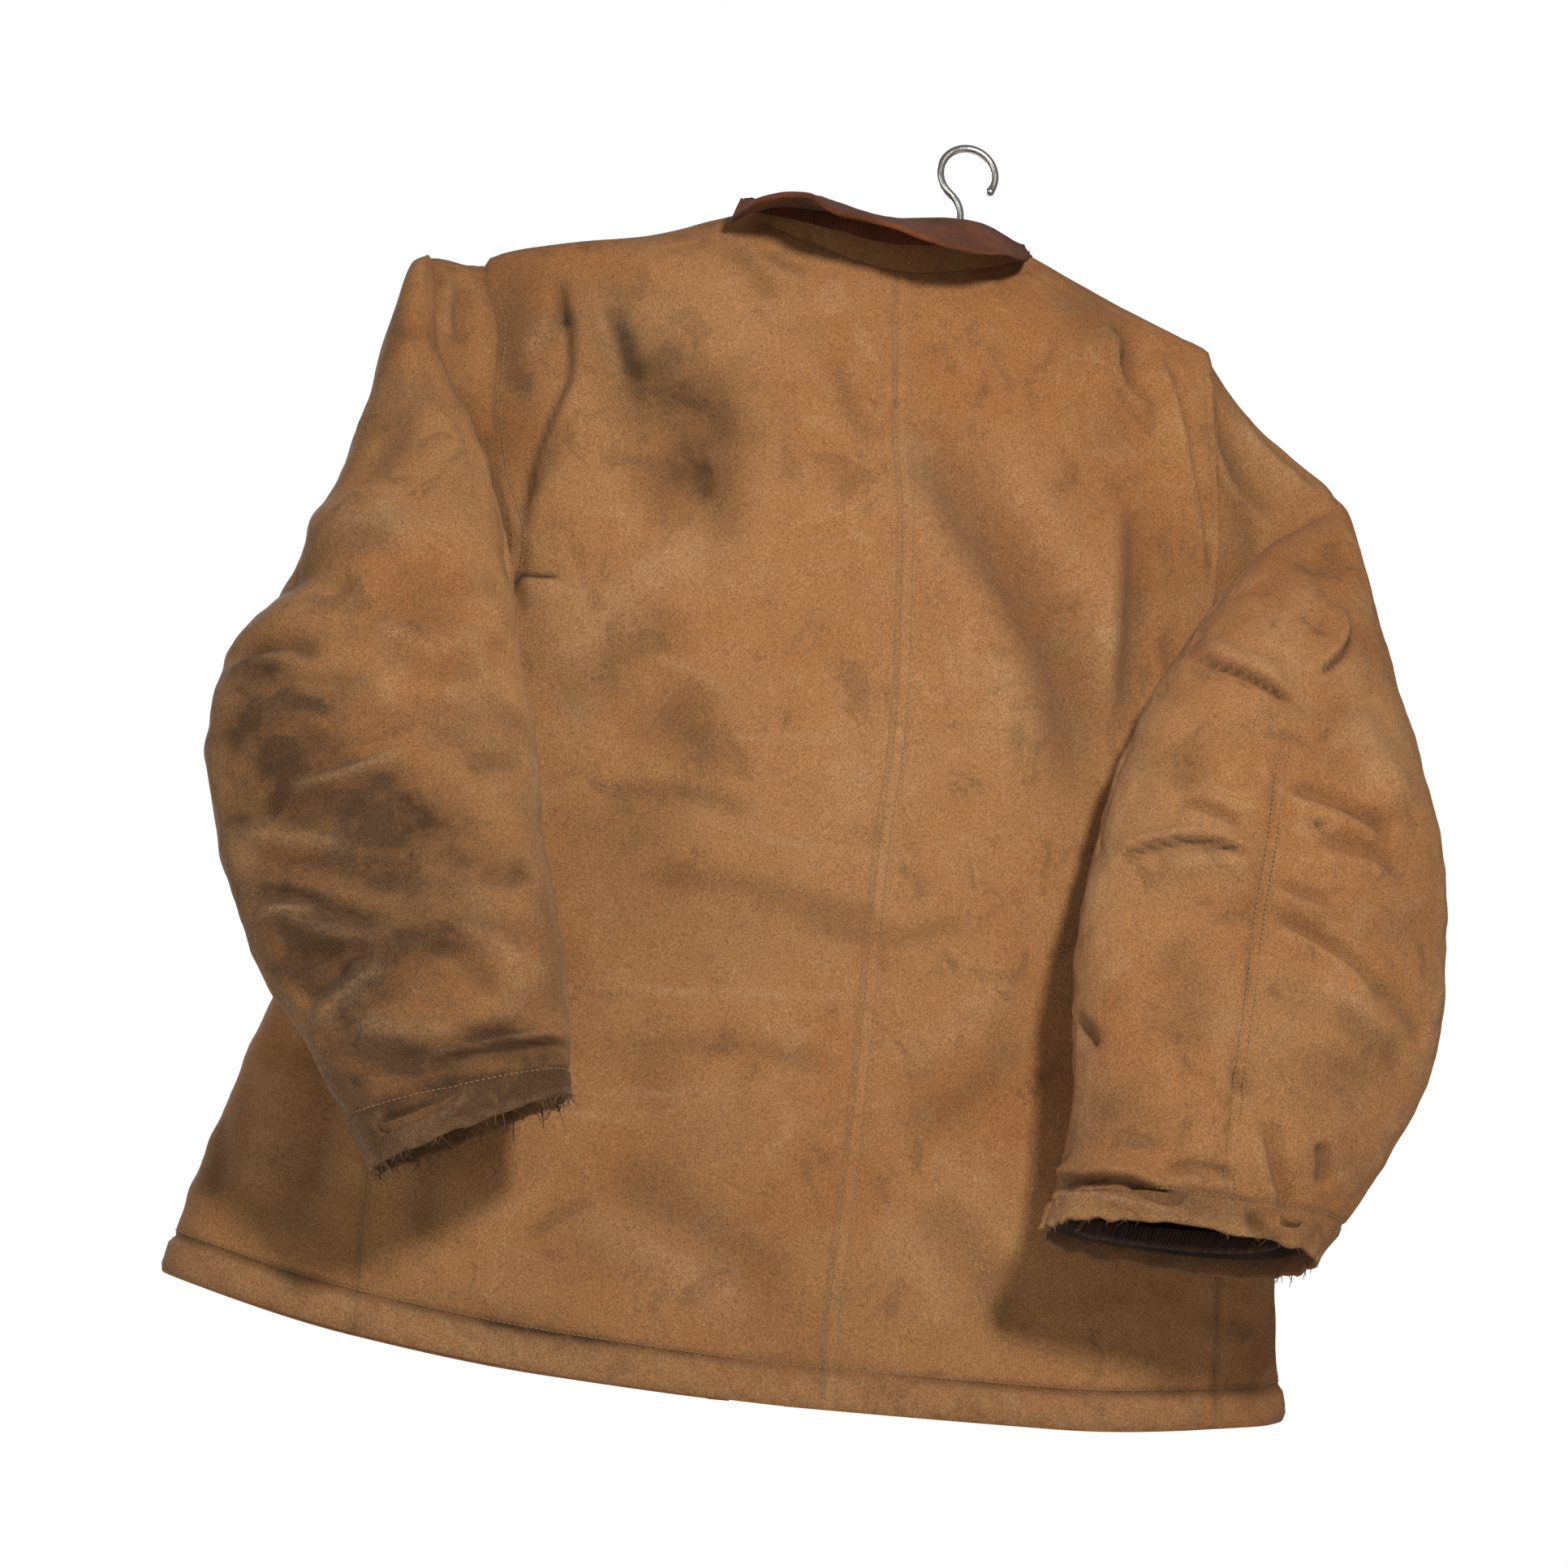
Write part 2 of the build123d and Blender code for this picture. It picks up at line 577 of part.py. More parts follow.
def slider_nodes():
    body = Pos(SLIDER_X + 0.5, TAPE_MID, SLIDER_Z) * Box(SLIDER[0] - 1, SLIDER[1], SLIDER[2])
    room = 2 * SLIDER_ROOM
    channel = Pos(SLIDER_X, TAPE_MID, SLIDER_Z) * Box(
        TOOTH[0] + room, TOOTH[1] + room, SLIDER[2] * 2)
    slot = Pos(SLIDER_X - SLIDER[0] / 2, TAPE_MID, SLIDER_Z) * Box(
        SLIDER[0], TAPE_THICK + room, SLIDER[2] * 2)
    bail_low = TAPE_MID - SLIDER[1] / 2
    bail = block((SLIDER_X - 1.6, bail_low - 4.6, SLIDER_Z - 3),
                 (SLIDER_X + 1.6, bail_low, SLIDER_Z + 3))
    pin_hole = rod((SLIDER_X - 9, PULL_Y, SLIDER_Z), (SLIDER_X + 9, PULL_Y, SLIDER_Z),
                   PULL_PIN_RADIUS + PIN_ROOM)
    slider = (body - channel - slot) + bail - pin_hole

    plate = block((SLIDER_X - PULL[0] / 2, PULL_Y - PULL[1] / 2, SLIDER_Z - PULL[2]),
                  (SLIDER_X + PULL[0] / 2, PULL_Y + PULL[1] / 2, SLIDER_Z))
    window = block((SLIDER_X - 2.4, PULL_Y - 5, SLIDER_Z - 7), (SLIDER_X + 2.4, PULL_Y + 5, 9))
    grip_hole = Pos(SLIDER_X, PULL_Y, SLIDER_Z - PULL[2] + 7) * Box(4, 9, 8)
    pin = rod((SLIDER_X - PULL[0] / 2, PULL_Y, SLIDER_Z), (SLIDER_X + PULL[0] / 2, PULL_Y, SLIDER_Z),
              PULL_PIN_RADIUS)
    pull = (plate - window - grip_hole) + pin
    return {"zip_slider": slider, "zip_pull": pull}


# ---------------------------------------------------------------- hanger and hook
HOOK_RADIUS = HOOK_INNER_RADIUS + HOOK_WIRE / 2
HEAD_GAP = 0.4


def hook():
    """A round wire hook: straight stem, a turn to one side, then the bowl over the rail."""
    centre_z = -HOOK_RADIUS
    reach = HOOK_STEM_DROP - HOOK_RADIUS
    turn = 2 * degrees(atan(HOOK_RADIUS / reach))
    side_radius = HOOK_RADIUS * cos(radians(turn)) / (1 - cos(radians(turn)))
    foot = HANGER_TOP - HANGER_HEIGHT - HEAD_GAP
    stem = Line((0, foot), (0, -HOOK_STEM_DROP))
    lead = CenterArc((side_radius, -HOOK_STEM_DROP), side_radius, 180, -turn)
    bowl = CenterArc((0, centre_z), HOOK_RADIUS, -turn, HOOK_END_ANGLE + turn)
    path = Plane.XZ * Wire([stem, lead, bowl])
    profile = Plane(origin=(0, 0, foot), z_dir=(0, 0, 1)) * Circle(HOOK_WIRE / 2)
    wire = sweep(profile, path=path)
    tip = path @ 1
    ball = Pos(tip) * Sphere(HOOK_WIRE / 2 + 0.4)
    head = Pos(0, 0, foot - STEM_HEAD / 2) * Cylinder(STEM_HEAD_RADIUS, STEM_HEAD)
    shape = wire + ball + head
    return Pos(0, 0, HOOK_WIRE / 2) * shape


def hanger():
    """A contoured bar whose two arms drop from the middle, bored for the hook's stem."""
    def arm_ring(x, height, thick):
        drop = abs(x) * tan(radians(HANGER_SLOPE))
        middle = HANGER_TOP - drop - HANGER_HEIGHT / 2
        place = Plane(origin=(x, 0, middle), x_dir=(0, 1, 0), z_dir=(1, 0, 0))
        return oval(place, thick / 2, thick / 2, height / 2, height / 2)

    places = [(-HANGER_ARM, 0.62, 0.9), (-HANGER_ARM * 0.6, 0.85, 1.1), (0, 1.0, 1.25),
              (HANGER_ARM * 0.6, 0.85, 1.1), (HANGER_ARM, 0.62, 0.9)]
    rings = [arm_ring(x, HANGER_HEIGHT * h, HANGER_THICK * t) for x, h, t in places]
    bar = tube(rings)
    bore = rod((0, 0, HANGER_TOP - 2 * HANGER_HEIGHT), (0, 0, 10), HOOK_WIRE / 2 + PIN_ROOM)
    bush_zone = rod((0, 0, HANGER_TOP - BUSH_HEIGHT), (0, 0, HANGER_TOP + BUSH_HEIGHT), BUSH_RADIUS)
    seat = Pos(0, 0, HANGER_TOP - HANGER_HEIGHT - 8) * Box(40, 40, 16)
    bush = rod((0, 0, HANGER_TOP - BUSH_HEIGHT), (0, 0, HANGER_TOP + 2), BUSH_RADIUS)
    return bar - bush_zone - bore - seat, bush - bore


def hanger_nodes():
    lean = Rot(0, -HANGER_TILT, 0)
    bar, bush = hanger()
    lift = Pos(0, 0, HOOK_WIRE / 2)
    return {
        "hanger_hook": lean * hook(),
        "hanger_bar": lean * lift * bar,
        "hanger_bush": lean * lift * bush,
    }


# ---------------------------------------------------------------- build and write
def garment_nodes():
    nodes = {}
    nodes.update(torso_nodes())
    for side in (1, -1):
        nodes.update(sleeve_nodes(side))
        nodes.update(pocket_nodes(side))
        nodes.update(zip_half(side))
    nodes.update(zip_foot_nodes())
    nodes.update(slider_nodes())
    nodes.update(collar_nodes())
    nodes["hang_loop"] = hang_loop()
    return nodes


def main():
    os.makedirs("parts", exist_ok=True)
    place = Pos(*NECK_OFFSET)
    nodes = {name: place * shape for name, shape in garment_nodes().items()}
    nodes.update(hanger_nodes())
    for name, shape in nodes.items():
        export_step(shape, f"parts/{name}.step")


main()
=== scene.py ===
import math
from collections import namedtuple

import bpy
import numpy as np
from mathutils import Matrix, Vector


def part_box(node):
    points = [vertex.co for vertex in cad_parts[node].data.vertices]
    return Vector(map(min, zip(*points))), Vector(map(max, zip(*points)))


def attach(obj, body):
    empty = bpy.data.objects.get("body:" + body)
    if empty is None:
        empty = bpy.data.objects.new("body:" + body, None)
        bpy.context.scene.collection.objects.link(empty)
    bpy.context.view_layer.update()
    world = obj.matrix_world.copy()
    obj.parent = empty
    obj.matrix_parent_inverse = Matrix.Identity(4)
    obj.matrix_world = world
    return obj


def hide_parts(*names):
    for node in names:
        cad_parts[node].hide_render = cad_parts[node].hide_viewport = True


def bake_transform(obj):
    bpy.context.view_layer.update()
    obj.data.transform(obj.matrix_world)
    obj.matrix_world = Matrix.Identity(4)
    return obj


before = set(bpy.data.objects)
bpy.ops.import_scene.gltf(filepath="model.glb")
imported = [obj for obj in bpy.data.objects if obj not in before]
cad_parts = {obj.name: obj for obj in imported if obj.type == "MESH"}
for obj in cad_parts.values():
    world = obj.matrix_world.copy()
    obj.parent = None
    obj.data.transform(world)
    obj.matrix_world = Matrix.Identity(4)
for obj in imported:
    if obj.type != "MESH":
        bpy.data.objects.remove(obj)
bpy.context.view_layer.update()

# All shapes are worked out in millimetres in the coat's own frame: zero is the back neck seam,
# +X the wearer's left, +Y the back, +Z up. ROW is that zero, from where the hook rests.
ROW = np.array([57.0, 0.0, -118.0])


def to_row(points):
    return (np.asarray(points, float) + ROW) / 1000.0


# ------------------------------------------------------------------ small numeric helpers
def smooth(t):
    t = np.clip(t, 0.0, 1.0)
    return t * t * (3.0 - 2.0 * t)


def curve(knots, values, x):
    """A smooth line through points that never overshoots between them."""
    knots, values = np.asarray(knots, float), np.asarray(values, float)
    x = np.clip(np.asarray(x, float), knots[0], knots[-1])
    step = np.diff(knots)
    slope = np.diff(values) / step
    tangent = np.zeros_like(values)
    a, b = slope[:-1], slope[1:]
    same = a * b > 0
    tangent[1:-1][same] = 2 * a[same] * b[same] / (a[same] + b[same])
    tangent[0], tangent[-1] = slope[0], slope[-1]
    k = np.clip(np.searchsorted(knots, x, side="right") - 1, 0, len(knots) - 2)
    t = (x - knots[k]) / step[k]
    return (values[k] * (1 + 2 * t) * (1 - t) ** 2 + values[k + 1] * t * t * (3 - 2 * t)
            + step[k] * (tangent[k] * t * (1 - t) ** 2 - tangent[k + 1] * t * t * (1 - t)))


def noise(u, v, cell_u, cell_v, seed):
    """Smooth random hills between -1 and 1, one to each cell."""
    own = np.random.default_rng(seed)
    table = own.uniform(-1, 1, (64, 64))
    a, b = u / cell_u + 500, v / cell_v + 500
    i, j = np.floor(a).astype(int), np.floor(b).astype(int)
    fa, fb = smooth(a - i), smooth(b - j)
    i0, i1, j0, j1 = i % 64, (i + 1) % 64, j % 64, (j + 1) % 64
    low = table[i0, j0] * (1 - fa) + table[i1, j0] * fa
    high = table[i0, j1] * (1 - fa) + table[i1, j1] * fa
    return low * (1 - fb) + high * fb


def lengths(points):
    """How far along a polyline each of its points lies."""
    return np.concatenate([[0], np.cumsum(np.linalg.norm(np.diff(points, axis=0), axis=1))])


def pick(points, s, want):
    """A polyline's points at the lengths wanted."""
    return np.stack([np.interp(want, s, points[:, k]) for k in range(points.shape[1])], -1)


def along(points, count):
    """That many points spaced evenly along a polyline."""
    points = np.asarray(points, float)
    s = lengths(points)
    return pick(points, s, np.linspace(0, s[-1], count))


def rounded(points, count=40):
    """A polyline with its corners eased."""
    points = np.asarray(points, float)
    s = lengths(points)
    want = np.linspace(0, s[-1], count)
    return np.stack([curve(s, points[:, k], want) for k in range(points.shape[1])], 1)


def squashed(values, power):
    """Values from -1 to 1 pushed towards a squarer or a rounder outline."""
    return np.sign(values) * abs(values) ** power


def reach(x, z, line):
    """Distance to a line in XZ, share of the way along it, and the side (+ is left of its travel)."""
    line = np.asarray(line, float)
    best = np.full(x.shape, 1e9)
    share, side = np.zeros(x.shape), np.ones(x.shape)
    gaps = np.linalg.norm(np.diff(line, axis=0), axis=1)
    total, before = gaps.sum(), 0.0
    for (x0, z0), (x1, z1), length in zip(line[:-1], line[1:], gaps):
        dx, dz = (x1 - x0) / length, (z1 - z0) / length
        t = np.clip((x - x0) * dx + (z - z0) * dz, 0, length)
        ex, ez = x - x0 - dx * t, z - z0 - dz * t
        d = np.hypot(ex, ez)
        near = d < best
        best = np.where(near, d, best)
        share = np.where(near, (before + t) / total, share)
        side = np.where(near, np.sign(dx * ez - dz * ex), side)
        before += length
    return best, share, side


def grid_normals(p):
    du, dv = np.gradient(p, axis=1), np.gradient(p, axis=0)
    n = np.cross(du, dv)
    return n / np.maximum(np.linalg.norm(n, axis=2, keepdims=True), 1e-9)


# ------------------------------------------------------------------ folds
# A fold is (kind, points in XZ, width, height). They raise or sink the cloth along its normal and
# leave their own wear on crests and painted shade in hollows.
def fold_field(x, z, folds):
    lift, dirt_and_shade, wear = np.zeros(x.shape), np.zeros(x.shape), np.zeros(x.shape)
    for kind, points, width, height in folds:
        points = np.asarray(points, float)
        if len(points) > 2:
            points = rounded(points, 6 * len(points))
        reach_in = 4.5 * width + (60 if kind == "step" else 0)
        low, high = points.min(0) - reach_in, points.max(0) + reach_in
        at = (x > low[0]) & (x < high[0]) & (z > low[1]) & (z < high[1])
        if not at.any():
            continue
        d, t, side = reach(x[at], z[at], points)
        ends = smooth(t / 0.22) * smooth((1 - t) / 0.22)
        s = d * side / width
        bell = np.exp(-s * s)
        if kind == "groove":
            rise = -bell
            # painted shade along the groove's hollow
            dirt_and_shade[at] += 0.30 * bell * ends
        elif kind == "ridge":
            rise = bell
            wear[at] += 0.35 * bell * ends
        elif kind == "fold":
            rise = -bell + 0.75 * np.exp(-((s - 1.9) / 1.4) ** 2)
            # painted shade in the fold's hollow
            dirt_and_shade[at] += 0.28 * bell * ends
            wear[at] += 0.22 * np.exp(-((s - 1.7) / 0.8) ** 2) * ends
        elif kind == "tuck":
            rise = smooth((s + 0.6) / 1.2) * np.exp(-(np.maximum(s, 0) / 2.6) ** 2) \
                - 0.6 * np.exp(-((s + 0.8) / 0.8) ** 2)
            # painted shadow on the cloth below the tuck's overhanging bulge
            dirt_and_shade[at] += 0.95 * np.exp(-((s + 0.45) / 0.50) ** 2) * ends
            wear[at] += 0.15 * np.exp(-((s - 0.9) / 0.7) ** 2) * ends
        elif kind == "step":
            high_side = smooth(0.5 + s / 2.0)
            rise = high_side * np.exp(-np.maximum(s, 0) * width / 55.0) - 0.35 * np.exp(
                -((s + 1.0) / 1.1) ** 2)
            # painted shadow cast by the step's raised edge onto its low side
            dirt_and_shade[at] += 0.35 * np.exp(-((s + 0.6) / 0.7) ** 2) * ends
        else:
            rise = 0.9 * bell - 0.5 * np.exp(-((s + 1.8) / 1.2) ** 2)
            wear[at] += 0.42 * bell * ends
        lift[at] += 1.35 * height * rise * ends
    return lift, dirt_and_shade, wear


def blobs(x, z, spots):
    """Soft stains and patches of painted shade: (x, z, half width, half height, lean, strength)."""
    total = np.zeros(x.shape)
    for cx, cz, rx, rz, lean, strength in spots:
        c, s = math.cos(math.radians(lean)), math.sin(math.radians(lean))
        u, v = ((x - cx) * c + (z - cz) * s) / rx, (-(x - cx) * s + (z - cz) * c) / rz
        ragged = 1 + 0.30 * noise(x, z, 17, 17, 5) + 0.15 * noise(x, z, 7, 7, 6)
        total += 0.85 * strength * np.exp(-(u * u + v * v) * ragged)
    return total


# ------------------------------------------------------------------ meshes
def add_mesh(name, points, faces, uvs=None, fields=None, material=None, shade=True):
    mesh = bpy.data.meshes.new(name)
    mesh.from_pydata([tuple(p) for p in to_row(points)], [], [tuple(f) for f in faces])
    if uvs is not None:
        layer = mesh.uv_layers.new(name="cloth")
        layer.data.foreach_set("uv", np.asarray(uvs, np.float32).ravel())
    for key, values in (fields or {}).items():
        attribute = mesh.attributes.new(key, "FLOAT", "POINT")
        attribute.data.foreach_set("value", np.asarray(values, np.float32).ravel())
    if shade:
        mesh.polygons.foreach_set("use_smooth", [True] * len(mesh.polygons))
    mesh.update()
    obj = bpy.data.objects.new(name, mesh)
    bpy.context.scene.collection.objects.link(obj)
    if material is not None:
        mesh.materials.append(material)
    return obj


def cloth(name, p, material, fields=None, closed=False, keep=None, flip=False):
    """A piece of cloth from a grid of points, with its own lengths in metres as UVs. A closed one
    is a flat piece whose first and last columns meet along a seam."""
    if closed:
        p = np.concatenate([p, p[:, :1]], 1)
        fields = {key: np.concatenate([v, v[:, :1]], 1) for key, v in (fields or {}).items()}
    rows, cols = p.shape[:2]
    last = cols - 1
    i, j = np.meshgrid(np.arange(rows - 1), np.arange(last), indexing="ij")
    i, j = i.ravel(), j.ravel()
    k = j + 1
    quads = np.stack([i * cols + j, i * cols + k, (i + 1) * cols + k, (i + 1) * cols + j], 1)
    widths = np.linalg.norm(np.diff(np.concatenate([p, p[:, :1]], 1), axis=1), axis=2)
    u = np.concatenate([[0], np.cumsum(widths[rows // 2])]) / 1000
    v = lengths(p[:, cols // 2]) / 1000
    uv = np.stack([np.stack([u[j], v[i]], 1), np.stack([u[j + 1], v[i]], 1),
                   np.stack([u[j + 1], v[i + 1]], 1), np.stack([u[j], v[i + 1]], 1)], 1)
    if keep is not None:
        kept = keep[quads // cols, quads % cols].any(axis=1)
        quads, uv = quads[kept], uv[kept]
    if flip:
        quads, uv = quads[:, ::-1], uv[:, ::-1]
    used, quads = np.unique(quads, return_inverse=True)
    quads = quads.reshape(-1, 4)
    flat = p.reshape(-1, 3)[used]
    fields = {key: value.ravel()[used] for key, value in (fields or {}).items()}
    return add_mesh(name, flat, quads.tolist(), uv.reshape(-1, 2), fields, material)


# ------------------------------------------------------------------ materials
class Surface:
    """A material: a principled shader, and the textures and mixes that feed it."""

    def __init__(self, name, base, rough, metal=0.0, sheen=0.0):
        self.material = bpy.data.materials.new(name)
        self.material.use_nodes = True
        self.nodes, self.links = self.material.node_tree.nodes, self.material.node_tree.links
        self.bsdf = self.nodes["Principled BSDF"]
        specular = 0.5 if metal else 0.2
        for key, value in (("Base Color", base), ("Roughness", rough), ("Metallic", metal),
                           ("Sheen Weight", sheen), ("Specular IOR Level", specular)):
            self.feed(key, value)

    def plug(self, socket, value):
        """Puts a number, a colour or another node's output into a socket."""
        if isinstance(value, (int, float)):
            socket.default_value = value
        elif isinstance(value, tuple):
            socket.default_value = (*value, 1)
        else:
            self.links.new(value, socket)

    def feed(self, key, value):
        self.plug(self.bsdf.inputs[key], value)

    def node(self, kind, values, **settings):
        """A node with its sockets filled and its own settings made."""
        node = self.nodes.new(kind)
        for key, value in settings.items():
            setattr(node, key, value)
        for key, value in values.items():
            self.plug(node.inputs[key], value)
        return node

    def field(self, name):
        """One of the values kept at the cloth's points."""
        return self.node("ShaderNodeAttribute", {}, attribute_name=name).outputs["Fac"]

    def noise(self, scale, detail, rough, warp=0.0):
        """Noise fixed to the object."""
        place = self.nodes.new("ShaderNodeTexCoord").outputs["Object"]
        return self.node("ShaderNodeTexNoise", {"Vector": place, "Scale": scale, "Detail": detail,
                                                "Roughness": rough, "Distortion": warp}).outputs["Fac"]

    def bands(self, spacing, warp, direction):
        """Bands that follow the cloth's own lengths, in metres."""
        lengths_map = self.nodes.new("ShaderNodeUVMap").outputs["UV"]
        return self.node("ShaderNodeTexWave",
                         {"Vector": lengths_map, "Scale": math.pi / spacing / 6.2832,
                          "Distortion": warp, "Detail": 1.0},
                         bands_direction=direction).outputs["Fac"]

    def ramp(self, source, low, high, a=0.0, b=1.0):
        return self.node("ShaderNodeMapRange",
                         {"Value": source, "From Min": low, "From Max": high, "To Min": a, "To Max": b},
                         interpolation_type="SMOOTHSTEP").outputs["Result"]

    def mix(self, factor, first, second):
        """Two colours mixed: sockets 0, 6 and 7 are the node's factor and its colours."""
        return self.node("ShaderNodeMix", {0: factor, 6: first, 7: second},
                         data_type="RGBA").outputs[2]

    def maths(self, kind, a, b):
        return self.node("ShaderNodeMath", {0: a, 1: b}, operation=kind).outputs[0]

    def brighten(self, colour, amount):
        return self.node("ShaderNodeVectorMath", {0: colour, "Scale": amount},
                         operation="SCALE").outputs[0]

    def bumps(self, *heights):
        """Bumps in a row: (height output, distance in metres, strength)."""
        normal = None
        for height, distance, strength in heights:
            node = self.node("ShaderNodeBump",
                             {"Height": height, "Distance": distance, "Strength": strength})
            if normal is not None:
                self.plug(node.inputs["Normal"], normal)
            normal = node.outputs["Normal"]
        self.feed("Normal", normal)


YARN = 0.00095                # spacing of the duck's yarns, in metres
TAN = (0.365, 0.178, 0.069)
TAN_PALE = (0.430, 0.240, 0.112)
TAN_RUST = (0.330, 0.140, 0.048)
FADED = (0.50, 0.320, 0.175)
DIRT_AND_SHADE = (0.052, 0.025, 0.011)
GREY_DIRT_AND_SHADE = (0.080, 0.043, 0.021)
SPECK = (0.20, 0.105, 0.05)


def canvas_material(name, tint=1.0, dirty=1.0):
    """Worn cotton duck: plain weave, faded crests, rusty patches, ground-in dirt and stains, and
    painted shade in its folds, grooves and seams.
    """
    tan, rust, pale = (tuple(c * tint for c in colour) for colour in (TAN, TAN_RUST, TAN_PALE))
    duck = Surface(name, tan, 0.9, sheen=0.03)
    duck.feed("Sheen Roughness", 0.6)
    wide, mid = duck.noise(6.0, 4.0, 0.6), duck.noise(26.0, 6.0, 0.68, 0.6)
    fine, grain = duck.noise(240.0, 3.0, 0.7), duck.noise(900.0, 2.0, 0.6)
    colour = duck.mix(duck.ramp(wide, 0.42, 0.66), tan, rust)
    colour = duck.mix(duck.ramp(mid, 0.50, 0.72, 0.0, 0.55), colour, pale)
    worn = duck.maths("MULTIPLY", duck.field("wear"), duck.ramp(fine, 0.30, 0.62, 0.15, 0.62))
    # painted shade and real dirt: the cloth darkens towards a dark brown where its folds, grooves and
    # seams carry painted shade and where it is stained
    patchy_dirt_and_shade = duck.maths("MULTIPLY", duck.field("dirt_and_shade"), duck.ramp(mid, 0.30, 0.62, 0.62, 1.1))
    grime_and_shade = duck.mix(duck.ramp(wide, 0.45, 0.62), DIRT_AND_SHADE, GREY_DIRT_AND_SHADE)
    colour = duck.mix(duck.maths("MINIMUM", patchy_dirt_and_shade, 0.93), colour, grime_and_shade)
    colour = duck.mix(worn, colour, FADED)
    colour = duck.mix(duck.ramp(mid, 0.34, 0.46, 0.30 * dirty, 0.0), colour, GREY_DIRT_AND_SHADE)
    colour = duck.mix(duck.ramp(fine, 0.66, 0.74, 0.0, 0.35), colour, SPECK)
    duck.feed("Base Color", duck.brighten(colour, duck.ramp(grain, 0.28, 0.72, 0.66, 1.32)))
    duck.feed("Roughness", duck.ramp(mid, 0.3, 0.7, 0.84, 0.97))
    weave = duck.maths("MAXIMUM", duck.bands(YARN, 1.5, "X"), duck.bands(YARN / 0.8, 1.5, "Y"))
    duck.bumps((weave, 0.00035, 0.45), (fine, 0.0009, 0.40), (mid, 0.0045, 0.40))
    return duck.material


def ribbed_material(name, colour, dark, spacing, direction="X", height=0.0009):
    """Corduroy wales or knitted ribs, from the cloth's own lengths."""
    ribbed = Surface(name, colour, 0.95, sheen=0.06)
    wale = ribbed.bands(spacing, 0.5, direction)
    fuzz, wide = ribbed.noise(420.0, 3.0, 0.7), ribbed.noise(24.0, 4.0, 0.6)
    # painted shade: the grooves between the wales and ribs take the darker colour
    tone = ribbed.mix(ribbed.ramp(wale, 0.1, 0.75), dark, colour)
    tone = ribbed.mix(ribbed.ramp(wide, 0.42, 0.68, 0.0, 0.5), tone, tuple(c * 1.7 for c in colour))
    ribbed.feed("Base Color", ribbed.mix(ribbed.ramp(fuzz, 0.35, 0.7, 0.35, 0.0), tone, dark))
    ribbed.bumps((wale, height, 0.8), (fuzz, 0.0006, 0.5))
    return ribbed.material


def lining_material():
    """Dark nylon lining with a fine sheen, creased between its quilting stitches."""
    nylon = Surface("quilted_lining", (0.050, 0.036, 0.030), 0.55, sheen=0.1)
    wide, fine = nylon.noise(18.0, 5.0, 0.6), nylon.noise(380.0, 2.0, 0.6)
    nylon.feed("Base Color", nylon.mix(nylon.ramp(wide, 0.35, 0.7), (0.034, 0.024, 0.021),
                                       (0.085, 0.055, 0.042)))
    nylon.feed("Roughness", nylon.ramp(wide, 0.3, 0.7, 0.45, 0.68))
    nylon.bumps((fine, 0.0005, 0.3), (wide, 0.004, 0.4))
    return nylon.material


def worn_metal(name, colour, tarnish, rough):
    """Polished or plated metal with scuffs and tarnish."""
    metal = Surface(name, colour, rough, metal=1.0)
    wide, fine = metal.noise(90.0, 5.0, 0.65), metal.noise(900.0, 2.0, 0.5)
    metal.feed("Base Color", metal.mix(metal.ramp(wide, 0.45, 0.70), colour, tarnish))
    metal.feed("Roughness", metal.ramp(wide, 0.35, 0.7, rough, rough + 0.25))
    metal.bumps((fine, 0.0002, 0.25))
    return metal.material


def plastic_material():
    """Scuffed black plastic."""
    plastic = Surface("hanger_plastic", (0.035, 0.033, 0.032), 0.42)
    wide, fine = plastic.noise(60.0, 4.0, 0.6), plastic.noise(1400.0, 2.0, 0.6)
    plastic.feed("Base Color", plastic.mix(plastic.ramp(wide, 0.4, 0.7), (0.030, 0.028, 0.027),
                                           (0.060, 0.056, 0.052)))
    plastic.feed("Roughness", plastic.ramp(wide, 0.3, 0.7, 0.36, 0.52))
    plastic.bumps((fine, 0.0002, 0.3))
    return plastic.material


CANVAS = canvas_material("duck_canvas")
SLEEVE_CANVAS = canvas_material("duck_canvas_sleeves", 0.98, 1.2)
CORDUROY = ribbed_material("corduroy", (0.205, 0.062, 0.022), (0.080, 0.022, 0.009), 0.0024)
KNIT = ribbed_material("rib_knit", (0.085, 0.042, 0.025), (0.022, 0.011, 0.008), 0.0042,
                       height=0.0014)
TAPE = ribbed_material("zip_tape", (0.105, 0.062, 0.036), (0.055, 0.032, 0.020), 0.0011, "Y",
                       height=0.0003)
LOOP_TAPE = ribbed_material("loop_tape", (0.130, 0.078, 0.044), (0.060, 0.036, 0.022), 0.0013,
                            height=0.0003)
LINING = lining_material()
BRASS = worn_metal("old_brass", (0.62, 0.42, 0.18), (0.28, 0.16, 0.07), 0.30)
CHROME = worn_metal("chrome", (0.72, 0.71, 0.69), (0.45, 0.42, 0.38), 0.13)
PLASTIC = plastic_material()
THREAD = Surface("thread", (0.33, 0.19, 0.085), 0.85, sheen=0.2).material
PALE_THREAD = Surface("frayed_yarn", (0.135, 0.078, 0.040), 0.95, sheen=0.1).material

